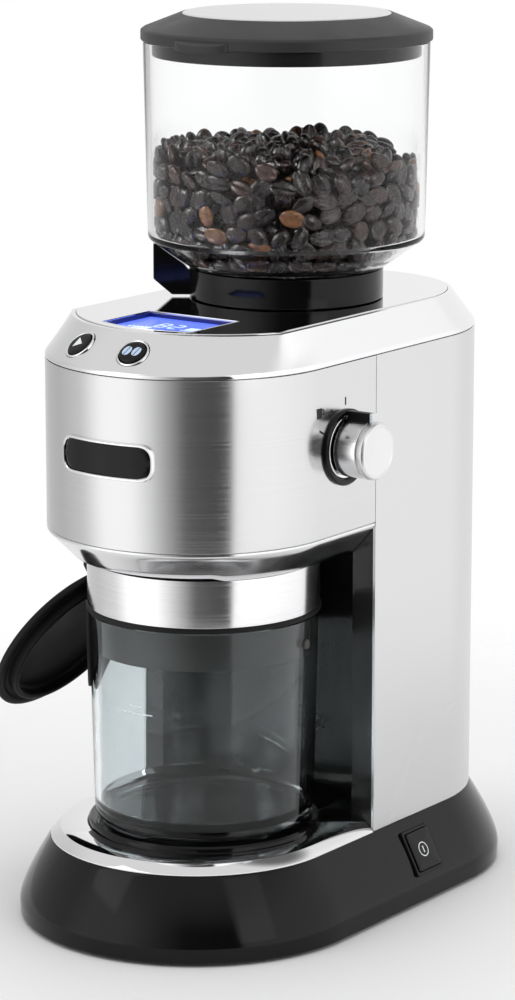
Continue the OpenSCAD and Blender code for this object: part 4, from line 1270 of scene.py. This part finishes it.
def make_strap():
    """Rubber band under the metal ring, with the pointed tongue and the two hinge lugs."""
    zr = RING_Z0 / MM
    band = rounded([(48.2, zr - 2.3), (50.5, zr - 2.3), (50.5, zr - 0.1), (48.2, zr - 0.1)], 0.6, 4)
    lathe("strap_band", [(r * MM, h * MM) for r, h in band], "rubber", (0, CUP_Y), segments=192,
          body="container", replaces=["jar_gasket"])
    at = math.radians(212)
    steps, across = 24, 8
    rows = []
    for i in range(steps + 1):
        t = i / steps
        z = zr - 1 - 38 * t
        half = 2.4 + 3.2 * min(1, t / 0.75)
        half *= math.sqrt(max(0.0, 1 - max(0.0, (t - 0.86) / 0.14) ** 2))
        half = max(half, 0.3)
        rows.append((z, half))
    rings = []
    for z, half in rows:
        wall = 47.5 + (z - 47.9) / (134.4 - 47.9) * 2.0
        ring = []
        for k in range(across + 1):
            s = -1 + 2 * k / across
            lift = 0.35 + 1.1 * (1 - s ** 4)
            a = at + s * half / wall
            ring.append(Vector(((wall + lift) * math.cos(a) * MM, CUP_Y + (wall + lift) * math.sin(a) * MM,
                                z * MM)))
        for k in range(across, -1, -1):
            a = at + (-1 + 2 * k / across) * half / wall
            ring.append(Vector(((wall + 0.05) * math.cos(a) * MM, CUP_Y + (wall + 0.05) * math.sin(a) * MM,
                                z * MM)))
        rings.append(ring)
    capped("strap_tongue", rings, "rubber", sharp=50, body="container")
    for side in (-1, 1):
        lug = rounded([(-57, 147), (-57, 149.4), (-54, 150.2), (-51, 149.2), (-50.4, 147), (-50.4, zr),
                       (-49.4, zr - 2.2), (-51.2, zr - 2.3), (-51.2, zr + 1)], 0.5, 3)
        verts, faces = prism([(p[0] * MM, p[1] * MM) for p in lug], -2 * MM, 2 * MM)
        sideways = Matrix.Translation((0, side * 10.5 * MM, 0))
        turn = hinge_side() @ sideways @ Matrix.Rotation(math.pi / 2, 4, "X")
        mesh_piece("strap_lug_%s" % ("front" if side < 0 else "rear"), [turn @ v for v in verts], faces,
                   "rubber",
                   body="container")


def hinge_side():
    return Matrix.Translation((0, CUP_Y, 0)) @ Matrix.Rotation(LID_TURN, 4, "Z")


def lid_place():
    return hinge_side() @ Matrix.Translation(LID_PIN) @ Matrix.Rotation(math.pi / 2 + LID_LEAN, 4, "Y")


def make_rubber_lid():
    place = lid_place()
    r = RUBBER_R
    profile = [(0, -0.4), (r, -0.4), (r, 2.6), (r - 1.2, 3.1), (r - 3, 3.1), (r - 4.2, 1.4), (PLUG_R, 1.4),
               (PLUG_R, 6.6), (PLUG_R - 2.6, 6.6), (PLUG_R - 2.8, 1.4), (0, 1.2)]
    radii = [0, 1.4, 1.4, 0.8, 1.2, 1.4, 0.9, 1.2, 1.2, 2.0, 0]
    profile = rounded([(a * MM, b * MM) for a, b in profile], [x * MM for x in radii], 4)
    disc = place @ Matrix.Translation(((r + 4.6) * MM, 0, 0))
    lathe("lid_rubber", profile, "rubber", segments=144, sharp=60, place=disc, body="container_lid",
          replaces=["rubber_lid"])
    pin = place @ Matrix.Rotation(math.pi / 2, 4, "X")
    knuckle = rounded([(0, -8), (2.9, -8), (2.9, 8), (0, 8)], [0, 0.6, 0.6, 0], 3)
    lathe("lid_knuckle", [(a * MM, b * MM) for a, b in knuckle], "rubber", segments=40, place=pin,
          body="container_lid")
    rod = rounded([(0, -12.5), (1.5, -12.5), (1.5, 12.5), (0, 12.5)], [0, 0.3, 0.3, 0], 3)
    lathe("lid_rod", [(a * MM, b * MM) for a, b in rod], "bright_steel", segments=32, place=pin,
          body="container_lid")
    tab = rounded([(0, -7.6 * MM), (12 * MM, -8 * MM), (12 * MM, 8 * MM), (0, 7.6 * MM)], 1.5 * MM, 3)
    mesh_piece("lid_tongue", *prism(tab, -0.9 * MM, 1.2 * MM, place), "rubber", body="container_lid")


def dress_cad_nodes():
    for look, names in CAD_LOOKS.items():
        for name in names:
            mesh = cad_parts[name].data
            mesh.materials.clear()
            mesh.materials.append(M[look])


add_camera()
add_world()
add_stage()
dress_cad_nodes()
make_base()
make_switch()
make_tray()
make_column()
make_head()
make_top_bezel()
make_deck()
make_display()
make_lower_bezel()
make_badge()
make_buttons()
make_knob()
make_grind_ring()
make_hopper()
make_lid()
make_beans()
make_container()
make_rubber_lid()
